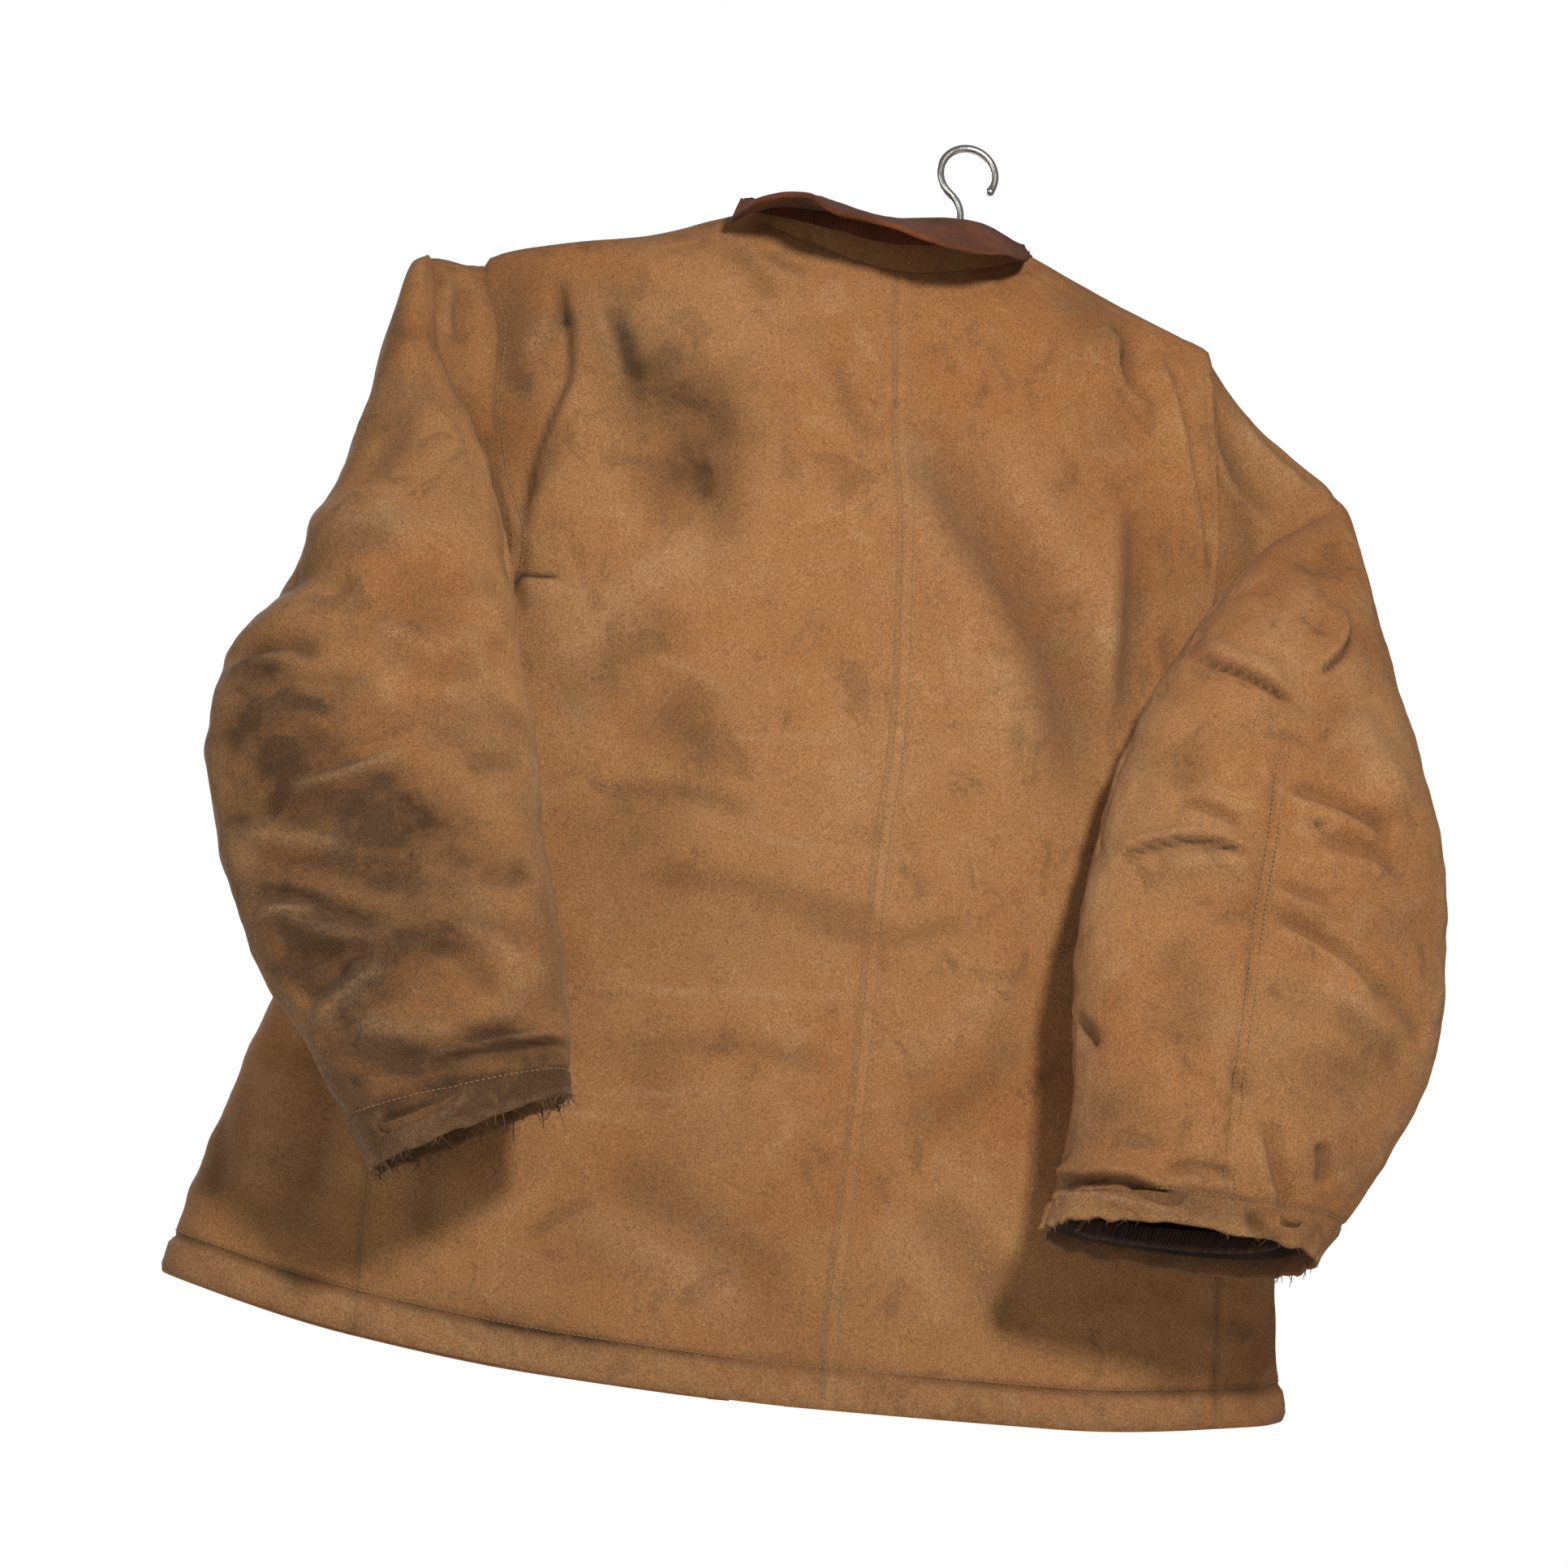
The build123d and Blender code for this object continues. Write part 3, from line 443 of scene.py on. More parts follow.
# ------------------------------------------------------------------ the torso's shape
# Height, half sizes to the right, left, front and back, and how square the outline is.
TORSO = np.array([
    (42, 107, 107, 24, 32, 0.56), (12, 180, 178, 42, 46, 0.56), (-20, 258, 280, 57, 55, 0.57),
    (-60, 274, 288, 66, 60, 0.60), (-130, 272, 282, 66, 66, 0.63), (-290, 284, 288, 66, 72, 0.66),
    (-450, 300, 330, 66, 76, 0.68), (-620, 322, 378, 66, 80, 0.70), (-775, 338, 408, 66, 82, 0.70),
    (-790, 339, 410, 66, 82, 0.70)], float)[::-1]
HEM = -775.0
LEFT_EDGE, RIGHT_EDGE = 28.0, -12.0
NECK = (104.0, 46.0, 3.0)
SCOOP = (75.0, 105.0, 30.0)
SHELF = -130.0                # below this height the rows are level


def torso_outline(z, fine=160):
    """The torso's outline at a height: from the front centre round the wearer's left side."""
    right, left, front, back, square = (curve(TORSO[:, 0], TORSO[:, k], z) for k in range(1, 6))
    t = np.linspace(0, 1, fine)
    b = [(1 - t) ** 3, 3 * t * (1 - t) ** 2, 3 * t * t * (1 - t), t ** 3]

    def quarter(x, y):
        """From (x, 0) to (0, y)."""
        return np.stack([b[0] * x + b[1] * x + b[2] * x * square,
                         b[1] * y * square + b[2] * y + b[3] * y], 1)

    return np.concatenate([quarter(left, -front)[::-1], quarter(left, back)[1:],
                           quarter(-right, back)[::-1][1:], quarter(-right, -front)[1:]])


COLUMNS = (74, 78, 70, 64)    # left front, left back, right back, right front
ROWS = (46, 134)              # above and below the shelf


def torso_grid():
    levels = np.concatenate([np.linspace(42, -20, 50), np.linspace(-22, SHELF, 44)[:-1],
                             np.linspace(SHELF, HEM, 110)])
    shape = []
    for z in levels:
        line = torso_outline(z)
        quarter = len(line) // 4
        s = lengths(line)
        left, right = line[:, 0].max(), -line[:, 0].min()
        back_x, back_s = line[quarter:3 * quarter + 2, 0], s[quarter:3 * quarter + 2]

        def at_x(x):
            return np.interp(-x, -back_x, back_s)

        left_side = curve([-790, -775, -620, -450, -290, SHELF, 50],
                          [287, 288, 290, 283, 276, 282, 282], z)
        right_side = curve([-790, -775, -620, -450, -290, SHELF, 50],
                           [276, 276, 272, 268, 268, 272, 272], z)
        seam = curve([-790, -773, -730, -605, -498, -416, -332, -219, -76, 0, 50],
                     [-8, -8, -7, -12, -14, -15, -20, -16, -3, 0, 0], z)
        marks = [np.interp(LEFT_EDGE, line[:quarter, 0], s[:quarter]),
                 at_x(min(left_side, left)), at_x(seam), at_x(-min(right_side, right)),
                 np.interp(RIGHT_EDGE, line[3 * quarter:, 0], s[3 * quarter:])]
        want = np.concatenate([np.linspace(a, b, n + 1)[:-1]
                               for a, b, n in zip(marks, marks[1:], COLUMNS)] + [[marks[-1]]])
        shape.append(np.stack([np.interp(want, s, line[:, 0]), np.interp(want, s, line[:, 1]),
                               np.full(want.shape, z)], 1))
    shape = np.array(shape)
    x, y, z = shape[..., 0], shape[..., 1], shape[..., 2]
    neck = (x / NECK[0]) ** 2 + ((y - NECK[2]) / NECK[1]) ** 2 - 1
    scoop = np.where(y < 0, (x / SCOOP[0]) ** 2 + ((z - SCOOP[2]) / SCOOP[1]) ** 2 - 1, 9.0)
    free = np.minimum(neck, scoop)
    columns = []
    shelf = int(np.argmin(abs(levels - SHELF)))
    for c in range(shape.shape[1]):
        line, f = shape[:, c], free[:, c]
        shut = np.nonzero(f[:shelf] < 0)[0]
        if len(shut):
            k = shut[-1]
            t = f[k] / (f[k] - f[k + 1])
            start = line[k] + (line[k + 1] - line[k]) * t
            upper = np.concatenate([[start], line[k + 1:shelf + 1]])
        else:
            upper = line[:shelf + 1]
        lower = line[shelf:]
        columns.append(np.concatenate([along(upper, ROWS[0] + 1)[:-1], along(lower, ROWS[1] + 1)]))
    return np.stack(columns, 1)


def hem_height(x):
    return curve([-345, -311, -162, -6, 153, 287, 403, 415],
                 [-756, -763, -777, -778, -772, -757, -731, -727], x)


# Where each sleeve is set in, on the back of the coat and mirrored on its front.
LEFT_ARMHOLE = [(286, -25), (284, -31), (281, -50), (273, -76), (270, -134), (262, -180),
                (245, -235), (250, -286)]
RIGHT_ARMHOLE = [(-237, -8), (-240, -20), (-244, -60), (-251, -110), (-255, -147), (-252, -198),
                 (-246, -240), (-244, -285)]


def past_armhole(x, z, ring, side):
    """Distance outside the armhole seam, below zero on the body side."""
    ring = rounded(ring, 60)
    order = np.argsort(ring[:, 1])
    edge = np.interp(z, ring[order, 1], ring[order, 0])
    top, foot = ring[:, 1].max(), ring[:, 1].min()
    outside = (side * x > side * edge) & (z < top) & (z > foot)
    border = np.concatenate([[(side * 500, ring[0, 1])], ring, [(side * 500, ring[-1, 1])]])
    d = reach(x, z, border)[0]
    return np.where(outside, d, -d)


TORSO_FOLDS = [
    # the left bi-swing pleat: its edge, its foot and the folds lying in it
    ("step", [(235, -241), (233, -188), (226, -152), (221, -133), (215, -109), (218, -76),
              (226, -54), (231, -36), (224, -30)], 4.5, 5.5),
    ("groove", [(231, -34), (228, -56), (222, -76)], 5, 3),
    ("groove", [(237, -225), (238, -250), (238, -268)], 6, 3),
    ("tuck", [(240, -270), (234, -255), (223, -256), (205, -254)], 4.5, 5),
    ("ridge", [(236, -272), (215, -268), (190, -262)], 9, 4),
    ("fold", [(196, -50), (189, -69), (182, -82), (177, -98), (172, -116)], 6, 3.5),
    ("groove", [(261, -107), (251, -117), (240, -118)], 6, 3.5),
    ("groove", [(243, -94), (233, -77), (227, -60)], 6, 3),
    ("ridge", [(252, -96), (240, -82), (234, -62)], 7, 3),
    ("groove", [(214, -146), (224, -172), (236, -206)], 6, 2.5),
    ("ridge", [(225, -326), (181, -282), (137, -236), (102, -203)], 20, 4),
    ("groove", [(215, -350), (168, -305), (128, -262)], 20, 4),
    ("groove", [(40, -71), (19, -120), (1, -132)], 7, 1.6),
    # the right shoulder and the long soft shadow across the back
    ("tuck", [(-158, -12), (-164, -30), (-165, -49), (-175, -67), (-198, -72)], 6, 8.5),
    ("tuck", [(-196, -24), (-210, -62), (-222, -103), (-243, -190)], 5, 6.5),
    ("fold", [(-182, -130), (-187, -184), (-186, -253), (-192, -318)], 12, 7),
    ("groove", [(-9, -88), (-32, -126), (-65, -179), (-102, -220), (-135, -279), (-150, -330),
                (-158, -380)], 24, 10.5),
    ("ridge", [(-2, -128), (-34, -186), (-72, -246), (-104, -310), (-118, -370)], 30, 6),
    ("ridge", [(-70, -110), (-110, -165), (-152, -224), (-170, -290)], 24, 5),
    ("groove", [(-210, -230), (-222, -262), (-240, -292)], 8, 4),
    # light, worn creases across the back
    ("crease", [(104, -354), (60, -349), (2, -341)], 2.6, 1.3),
    ("crease", [(104, -409), (40, -419), (-15, -421), (-52, -418)], 2.8, 1.7),
    ("crease", [(182, -529), (100, -524), (30, -518), (-40, -512)], 2.8, 1.5),
    ("crease", [(168, -597), (120, -593), (64, -584)], 3.0, 1.8),
    ("crease", [(196, -604), (160, -612), (110, -606)], 3.2, 1.5),
    ("crease", [(150, -300), (110, -312), (84, -330)], 3.0, 1.0),
    ("groove", [(178, -400), (120, -392), (60, -402)], 7, 1.6),
    ("groove", [(150, -455), (80, -448), (20, -458), (-40, -462)], 9, 1.8),
    ("groove", [(140, -560), (60, -556), (-10, -562)], 8, 1.5),
    ("groove", [(40, -470), (-20, -474), (-90, -452)], 7, 1.3),
    ("ridge", [(-30, -560), (-80, -530), (-120, -480)], 14, 2.6),
    ("groove", [(-40, -600), (-90, -572), (-130, -520)], 14, 2.6),
    ("groove", [(152, -640), (85, -667), (3, -712)], 17, 4.5),
    ("ridge", [(176, -668), (104, -694), (30, -728)], 17, 3.5),
    ("groove", [(-60, -640), (-110, -676), (-130, -720)], 16, 3.5),
    ("ridge", [(-30, -652), (-74, -690), (-90, -730)], 15, 3.0),
    ("groove", [(330, -560), (322, -640), (330, -716)], 13, 4),
    ("ridge", [(356, -600), (352, -660), (362, -716)], 13, 4),
    ("groove", [(395, -640), (384, -690), (388, -728)], 8, 3),
    ("groove", [(244, -600), (252, -660), (250, -720)], 12, 3),
    ("fold", [(90, 6), (82, -6), (60, -12)], 6, 1.6),
    ("groove", [(120, 6), (96, -20), (84, -42)], 9, 2.0),
]
TORSO_STAINS_AND_SHADE = [
    (166, -100, 24, 34, 20, 0.50), (142, -118, 34, 36, 30, 0.62), (118, -150, 28, 40, 15, 0.66),
    (138, -180, 26, 22, 0, 0.45), (107, -200, 16, 28, 0, 0.38), (186, -70, 10, 32, -12, 0.45),
    (118, -336, 20, 20, 0, 0.46), (103, -362, 18, 24, 0, 0.56), (132, -352, 22, 16, 10, 0.34),
    (138, -408, 34, 22, 0, 0.30), (150, -440, 40, 30, 20, 0.22), (120, -480, 50, 60, 0, 0.14),
    (142, -563, 34, 16, 0, 0.20), (119, -579, 22, 20, 0, 0.30), (95, -625, 46, 26, -30, 0.22),
    (-139, -8, 24, 26, 20, 0.45), (-165, -36, 14, 30, 0, 0.42), (-160, -96, 20, 24, 0, 0.24),
    # the second spot here is painted shade along the soft shadow fold on the right back
    (-214, -190, 18, 50, 10, 0.22), (-188, -230, 12, 60, 0, 0.30), (200, -70, 30, 40, 0, 0.18),
    (256, -80, 24, 60, 0, 0.42), (240, -150, 20, 60, -12, 0.24), (262, -60, 16, 40, 0, 0.20),
    # painted shade along the long soft shadow across the back
    (-60, -180, 20, 60, -38, 0.22), (-105, -240, 20, 62, -36, 0.24), (-140, -310, 20, 60, -16, 0.2),
    (362, -680, 46, 50, 0, 0.30), (330, -720, 60, 16, 10, 0.34), (190, -748, 90, 12, 8, 0.26),
    (20, -720, 70, 20, 0, 0.18), (150, -700, 50, 30, -30, 0.20), (226, -640, 40, 26, 0, 0.22),
    (70, -60, 30, 12, 0, 0.10), (9, -104, 2.2, 2.2, 0, 0.8), (-5, -102, 1.8, 2.6, 0, 0.7),
    (-3, -79, 2.0, 2.0, 0, 0.5), (60, -470, 50, 30, 0, 0.14), (10, -640, 60, 50, 0, 0.10),
]


def torso_surface():
    p = torso_grid()
    x, y, z = p[..., 0], p[..., 1], p[..., 2]
    n = grid_normals(p)
    if n[100, COLUMNS[0] + COLUMNS[1], 1] < 0:
        n = -n
    rows, cols = x.shape
    s = np.tile(lengths(p[rows // 2]), (rows, 1))
    back = smooth((n[..., 1] - 0.02) / 0.3)
    lift, dirt_and_shade, wear = fold_field(x, z, TORSO_FOLDS)
    lift, dirt_and_shade, wear = lift * back, dirt_and_shade * back, wear * back
    dirt_and_shade = dirt_and_shade + blobs(x, z, TORSO_STAINS_AND_SHADE) * (0.35 + 0.65 * back)
    # the cloth's own drape: long falls lower down, small cockles everywhere
    low = smooth((-150 - z) / 400)
    lift += 2.6 * low * noise(s + 0.2 * z, z, 74, 300, 21)
    lift += 2.0 * noise(s - 0.3 * z, z, 64, 90, 22) * smooth((-30 - z) / 80)
    lift += 0.9 * noise(s, z, 42, 17, 23) * smooth((-260 - z) / 160)
    lift += 0.55 * noise(s + 0.5 * z, z, 15, 15, 24) + 0.30 * noise(s, z, 7, 7, 25)
    front = smooth((-n[..., 1] - 0.05) / 0.3)
    lift += 3.0 * front * noise(s, z, 60, 240, 31) * smooth((-140 - z) / 200)
    # seams: the centre back, the sides, and the hem's stitched channel
    across = s - s[:, COLUMNS[0] + COLUMNS[1]][:, None]
    seam = np.exp(-(across / 1.7) ** 2)
    lift += -0.8 * seam + 0.5 * smooth((across + 1) / 2) * smooth((11.5 - across) / 2) * (z < 10)
    dirt_and_shade += 0.12 * seam + 0.05 * np.exp(-((across - 10.5) / 1.5) ** 2)
    wear += 0.14 * smooth((across + 1) / 2) * smooth((11.5 - across) / 2)
    pull = np.exp(-(across / 24.0) ** 2)
    lift += 0.6 * pull * noise(across, z, 40, 13, 33)
    for k in (COLUMNS[0], COLUMNS[0] + COLUMNS[1] + COLUMNS[2]):
        off = s - s[:, k][:, None]
        lift += -1.4 * np.exp(-(off / 1.8) ** 2) * smooth((-285 - z) / 20)
        dirt_and_shade += 0.25 * np.exp(-(off / 2.0) ** 2) * smooth((-285 - z) / 20)
        lift += 0.8 * np.exp(-(off / 20.0) ** 2) * noise(off, z, 30, 15, 34) * smooth((-285 - z) / 20)
    drop = smooth((-430 - z) / 345)
    z_new = z + (hem_height(x) - HEM) * drop
    above_hem = z_new - hem_height(x)
    stitch = 25.0 + 1.5 * noise(s, z * 0, 60, 10, 40)
    band = smooth((stitch - above_hem) / 4.0)
    slant = s + 0.9 * above_hem + 7 * noise(s, z * 0, 50, 10, 41) + 9 * noise(s, z, 31, 9, 46)
    roping = np.sin(slant / 21.0 * 2 * math.pi)
    puff = np.sqrt(np.clip(1 - ((above_hem - 12.0) / 13.5) ** 2, 0, 1))
    lift += band * (3.4 * puff + (0.60 * roping + 1.1 * noise(s, above_hem, 11, 30, 42)) * puff)
    groove = np.exp(-((above_hem - stitch) / 2.0) ** 2)
    waves = (s - 0.6 * above_hem) / 23.0 * 2 * math.pi + 2 * noise(s, z * 0, 70, 9, 43)
    pulled = np.exp(-((above_hem - stitch) / 9.0) ** 2) * (0.5 + 0.5 * np.sin(waves))
    lift += -2.2 * groove - 0.8 * pulled
    # painted shade in the hem's stitched groove and where the rolled hem turns under, a little less on
    # the roping's crests
    dirt_and_shade += 0.60 * groove + 0.16 * band * (0.6 - 0.15 * roping) + 0.25 * band * (1 - puff)
    wear += band * puff * (0.22 + 0.07 * roping)
    # painted shade, patchy, darkening the cloth towards the hem
    dirt_and_shade += 0.16 * smooth((-640 - z) / 120) * (0.5 + 0.5 * noise(s, z, 60, 30, 44))
    wear += 0.20 * np.clip(noise(s, z, 90, 60, 45), 0, 1) * back
    p = p.copy()
    p[..., 2] = z_new
    plain = p + n * np.minimum(lift, 0)[..., None]
    p += n * lift[..., None]
    before = p.copy()
    keep = np.ones(x.shape, bool)
    for ring, side in ((LEFT_ARMHOLE, 1), (RIGHT_ARMHOLE, -1)):
        d = past_armhole(x, z, ring, side)
        p -= n * (13.0 * smooth(d / 7.0) + 0.9 * np.exp(-(d / 1.4) ** 2))[..., None]
        plain -= n * (14.0 * smooth((d + 4) / 7.0))[..., None]
        p += n * (0.9 * smooth((d + 11.5) / 2) * smooth((0.5 - d) / 2))[..., None] * back[..., None]
        # painted shade along the armhole seam, where the body sinks in under the sleeve, and a thin
        # line at the inner edge of the raised band beside it
        dirt_and_shade += 0.40 * np.exp(-(d / 2.2) ** 2) + 0.12 * np.exp(-((d + 11) / 1.5) ** 2)
        keep &= d < 12
    return p, n, plain, before, np.clip(dirt_and_shade, 0, 1), np.clip(wear, 0, 1), keep


torso, torso_n, torso_plain, torso_before, torso_dirt_and_shade, torso_wear, torso_keep = torso_surface()


def edge_turn(p, n, inward, up):
    """A row of points turned in from a grid's last row."""
    return p[-1] - n[-1] * inward + np.array([0, 0, up])


def panel(name, first, last, turn_first=False, turn_last=False):
    """One canvas panel of the body, its hem turned up inside and its front edge turned back."""
    p, n = torso[:, first:last + 1], torso_n[:, first:last + 1]
    dirt_and_shade, wear = torso_dirt_and_shade[:, first:last + 1], torso_wear[:, first:last + 1]
    keep = torso_keep[:, first:last + 1]
    hem = [edge_turn(p, n, 0.9, -0.9), edge_turn(p, n, 2.6, -0.9), edge_turn(p, n, 3.6, 0.8),
           edge_turn(p, n, 4.0, 8.0), edge_turn(p, n, 4.2, 22.0)]
    p = np.concatenate([p, np.array(hem)])
    n = np.concatenate([n] + [n[-1:]] * len(hem))
    dirt_and_shade = np.concatenate([dirt_and_shade] + [dirt_and_shade[-1:]] * len(hem))
    wear = np.concatenate([wear] + [wear[-1:] * 0.5] * len(hem))
    keep = np.concatenate([keep] + [keep[-1:]] * len(hem))
    for turn, at in ((turn_first, 0), (turn_last, -1)):
        if not turn:
            continue
        edge, up = p[:, at], n[:, at]
        side = -1.0 if at == 0 else 1.0
        extra = [edge - up * 0.9 + np.array([side * 0.8, 0, 0]),
                 edge - up * 2.4 + np.array([side * 0.6, 0, 0]),
                 edge - up * 3.0 - np.array([side * 2.0, 0, 0]),
                 edge - up * 3.2 - np.array([side * 14.0, 0, 0])]
        stack = np.stack(extra, 1)
        pad = np.repeat(dirt_and_shade[:, [at]], len(extra), 1), np.repeat(wear[:, [at]], len(extra), 1)
        kept = np.repeat(keep[:, [at]], len(extra), 1)
        if at == 0:
            p = np.concatenate([stack[:, ::-1], p], 1)
            dirt_and_shade, wear = np.concatenate([pad[0], dirt_and_shade], 1), np.concatenate([pad[1], wear], 1)
            keep = np.concatenate([kept, keep], 1)
        else:
            p = np.concatenate([p, stack], 1)
            dirt_and_shade, wear = np.concatenate([dirt_and_shade, pad[0]], 1), np.concatenate([wear, pad[1]], 1)
            keep = np.concatenate([keep, kept], 1)
    return cloth(name, p, CANVAS, {"dirt_and_shade": dirt_and_shade, "wear": wear}, keep=keep)


C1, C2, C3, C4 = np.cumsum(COLUMNS)
left_back = panel("left_back_canvas", C1, C2)
right_back = panel("right_back_canvas", C2, C3)
left_front = panel("left_front_canvas", 0, C1, turn_first=True)
right_front = panel("right_front_canvas", C3, C4, turn_last=True)


QUILT = 62.0                  # from one line of quilting to the next


def quilted(name, first, last, inset_first=0, inset_last=0):
    """The quilted lining behind one panel, in soft squares on their corners."""
    pick_rows = np.arange(2, ROWS[0] + ROWS[1])
    pick_cols = np.arange(first + inset_first, last + 1 - inset_last)
    p = torso_plain[np.ix_(pick_rows, pick_cols)]
    n = torso_n[np.ix_(pick_rows, pick_cols)]
    keep = torso_keep[np.ix_(pick_rows, pick_cols)]
    s = np.tile(lengths(p[len(p) // 2]), (len(p), 1))
    z = p[..., 2]
    a, b = (s + z) / QUILT, (s - z) / QUILT
    stitched = np.minimum(abs(a - np.round(a)), abs(b - np.round(b))) * QUILT
    puff = 1.9 * (1 - np.exp(-(stitched / 9.0) ** 2)) + 0.4 * noise(s, z, 12, 12, 51)
    p = p - n * (6.6 + puff)[..., None]
    p[-1, :, 2] += 9
    p[-2, :, 2] += 6
    p[-3, :, 2] += 3
    return cloth(name, p, LINING, keep=keep, flip=True)


left_lining_back = quilted("left_back_quilting", C1, C2)
right_lining_back = quilted("right_back_quilting", C2, C3)
left_lining_front = quilted("left_front_quilting", 0, C1, inset_first=2)
right_lining_front = quilted("right_front_quilting", C3, C4, inset_last=2)


def over_fold(obj):
    """Bakes a front's placement into its mesh."""
    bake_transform(obj)


for obj, nodes in ((left_back, ["left_back_panel"]), (right_back, ["right_back_panel"]),
                   (left_lining_back, ["left_back_lining"]),
                   (right_lining_back, ["right_back_lining"])):
    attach(obj, "coat")
    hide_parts(*nodes)
for side, name, shell_piece, lining_piece in ((1, "left", left_front, left_lining_front),
                                              (-1, "right", right_front, right_lining_front)):
    over_fold(shell_piece)
    over_fold(lining_piece)
    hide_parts(f"{name}_front_panel", f"{name}_front_side")
    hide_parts(f"{name}_front_lining", f"{name}_side_lining")


# ------------------------------------------------------------------ stitches
# Along a stitch: how far, how thick and how proud of the cloth its section is.
STITCH_SECTIONS = [(-0.5, 0.15, -0.3), (-0.3, 0.9, 0.15), (0.0, 1.0, 0.35), (0.3, 0.9, 0.15),
                   (0.5, 0.15, -0.3)]
STITCH_SIDES = 5
HEM_STITCHES = 25.4           # how far the hem's stitching stands above its edge


def stitch_row(spots, normals, pitch=3.4, length=2.5, thick=0.42):
    """Points and faces for a row of stitches along a line lying on cloth."""
    spots, normals = np.asarray(spots, float), np.asarray(normals, float)
    s = lengths(spots)
    count = max(2, int(s[-1] / pitch))
    want = (np.arange(count) + 0.5) * s[-1] / count
    at, up = pick(spots, s, want), pick(normals, s, want)
    ahead = pick(spots, s, want + 0.5) - pick(spots, s, want - 0.5)
    ahead /= np.maximum(np.linalg.norm(ahead, axis=1, keepdims=True), 1e-9)
    side = np.cross(ahead, up)
    side /= np.maximum(np.linalg.norm(side, axis=1, keepdims=True), 1e-9)
    points = []
    for f, r, rise in STITCH_SECTIONS:
        for k in range(STITCH_SIDES):
            a = 2 * math.pi * k / STITCH_SIDES
            points.append(at + ahead * (f * length) + side * (math.cos(a) * r * thick)
                          + up * ((math.sin(a) * r + rise) * thick))
    return np.stack(points, 1).reshape(-1, 3), tube_faces(len(STITCH_SECTIONS), STITCH_SIDES), count


def tube_faces(rings, sides):
    """Faces of a closed tube: its sides and both ends."""
    faces = []
    for k in range(rings - 1):
        for m in range(sides):
            m2 = (m + 1) % sides
            faces.append((k * sides + m, k * sides + m2, (k + 1) * sides + m2, (k + 1) * sides + m))
    faces.append(tuple(range(sides - 1, -1, -1)))
    faces.append(tuple((rings - 1) * sides + m for m in range(sides)))
    return faces


def stitches(name, rows):
    """One mesh of all the stitch rows given."""
    points, faces, base = [], [], 0
    for spots, normals in rows:
        some, shape, count = stitch_row(spots, normals)
        points.append(some)
        each = len(some) // count
        for k in range(count):
            faces += [tuple(base + k * each + v for v in face) for face in shape]
        base += len(some)
    return add_mesh(name, np.concatenate(points), faces, material=THREAD)


def hem_rows(first, last, height=HEM_STITCHES):
    """A line a set height above the hem."""
    spots, normals = [], []
    for c in range(first, last + 1):
        down = -torso[60:, c, 2]
        want = -(hem_height(torso[-1, c, 0]) + height)
        spots.append(pick(torso[60:, c], down, want))
        normals.append(pick(torso_n[60:, c], down, want))
    return np.array(spots) + np.array(normals) * 0.25, np.array(normals)


def beside_column(col, off, low_row, high_row):
    """A line beside one of the torso's columns, off millimetres round the body."""
    spots, normals = [], []
    for r in range(low_row, high_row):
        s = lengths(torso[r])
        spots.append(pick(torso[r], s, s[col] + off))
        normals.append(pick(torso_n[r], s, s[col] + off))
    return np.array(spots) + np.array(normals) * 0.25, np.array(normals)


def laid_on(line, points, normals, hidden, proud):
    """A line in XZ laid on a surface's points, and the surface's normals there. Points that a
    viewer from behind doesn't see are put further off by hidden."""
    spots, ups = [], []
    for x, z in line:
        d = np.hypot(points[:, 0] - x, points[:, 2] - z) + hidden
        k = np.argsort(d)[:4]
        w = 1 / (d[k] + 0.3)
        w /= w.sum()
        up = (normals[k] * w[:, None]).sum(0)
        spots.append(np.array([x, (points[k, 1] * w).sum(), z]) + up * proud)
        ups.append(up)
    return np.array(spots), np.array(ups)


def armhole_row(ring, side, off):
    """A line beside an armhole seam on the body's back."""
    ring = rounded(ring, 90)[6:-10]
    run = np.gradient(ring, axis=0)
    run /= np.linalg.norm(run, axis=1, keepdims=True)
    inner = ring + np.stack([run[:, 1], -run[:, 0]], 1) * off * side
    block = torso[:, C1:C3].reshape(-1, 3)
    return laid_on(inner, block, torso_n[:, C1:C3].reshape(-1, 3), (block[:, 1] < 2) * 50, 0.4)


LAST_ROW = ROWS[0] + ROWS[1]
left_side_stitches = [hem_rows(C1, C2), beside_column(C2, -1.6, 2, LAST_ROW),
                      armhole_row(LEFT_ARMHOLE, 1, 2.4), armhole_row(LEFT_ARMHOLE, 1, 9.6),
                      beside_column(C1, 2.0, 76, LAST_ROW)]
right_side_stitches = [hem_rows(C2, C3), beside_column(C2, 2.0, 2, LAST_ROW),
                       beside_column(C2, 9.0, 2, LAST_ROW), armhole_row(RIGHT_ARMHOLE, -1, 2.4),
                       armhole_row(RIGHT_ARMHOLE, -1, 9.6), beside_column(C3, -2.0, 76, LAST_ROW)]
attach(stitches("left_back_stitches", left_side_stitches), "coat")
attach(stitches("right_back_stitches", right_side_stitches), "coat")
over_fold(stitches("left_front_stitches", [hem_rows(0, C1), beside_column(0, 4.0, 1, LAST_ROW),
                                           beside_column(0, 22.0, 1, LAST_ROW)]))
over_fold(stitches("right_front_stitches", [hem_rows(C3, C4), beside_column(C4, -4.0, 1, LAST_ROW),
                                            beside_column(C4, -22.0, 1, LAST_ROW)]))

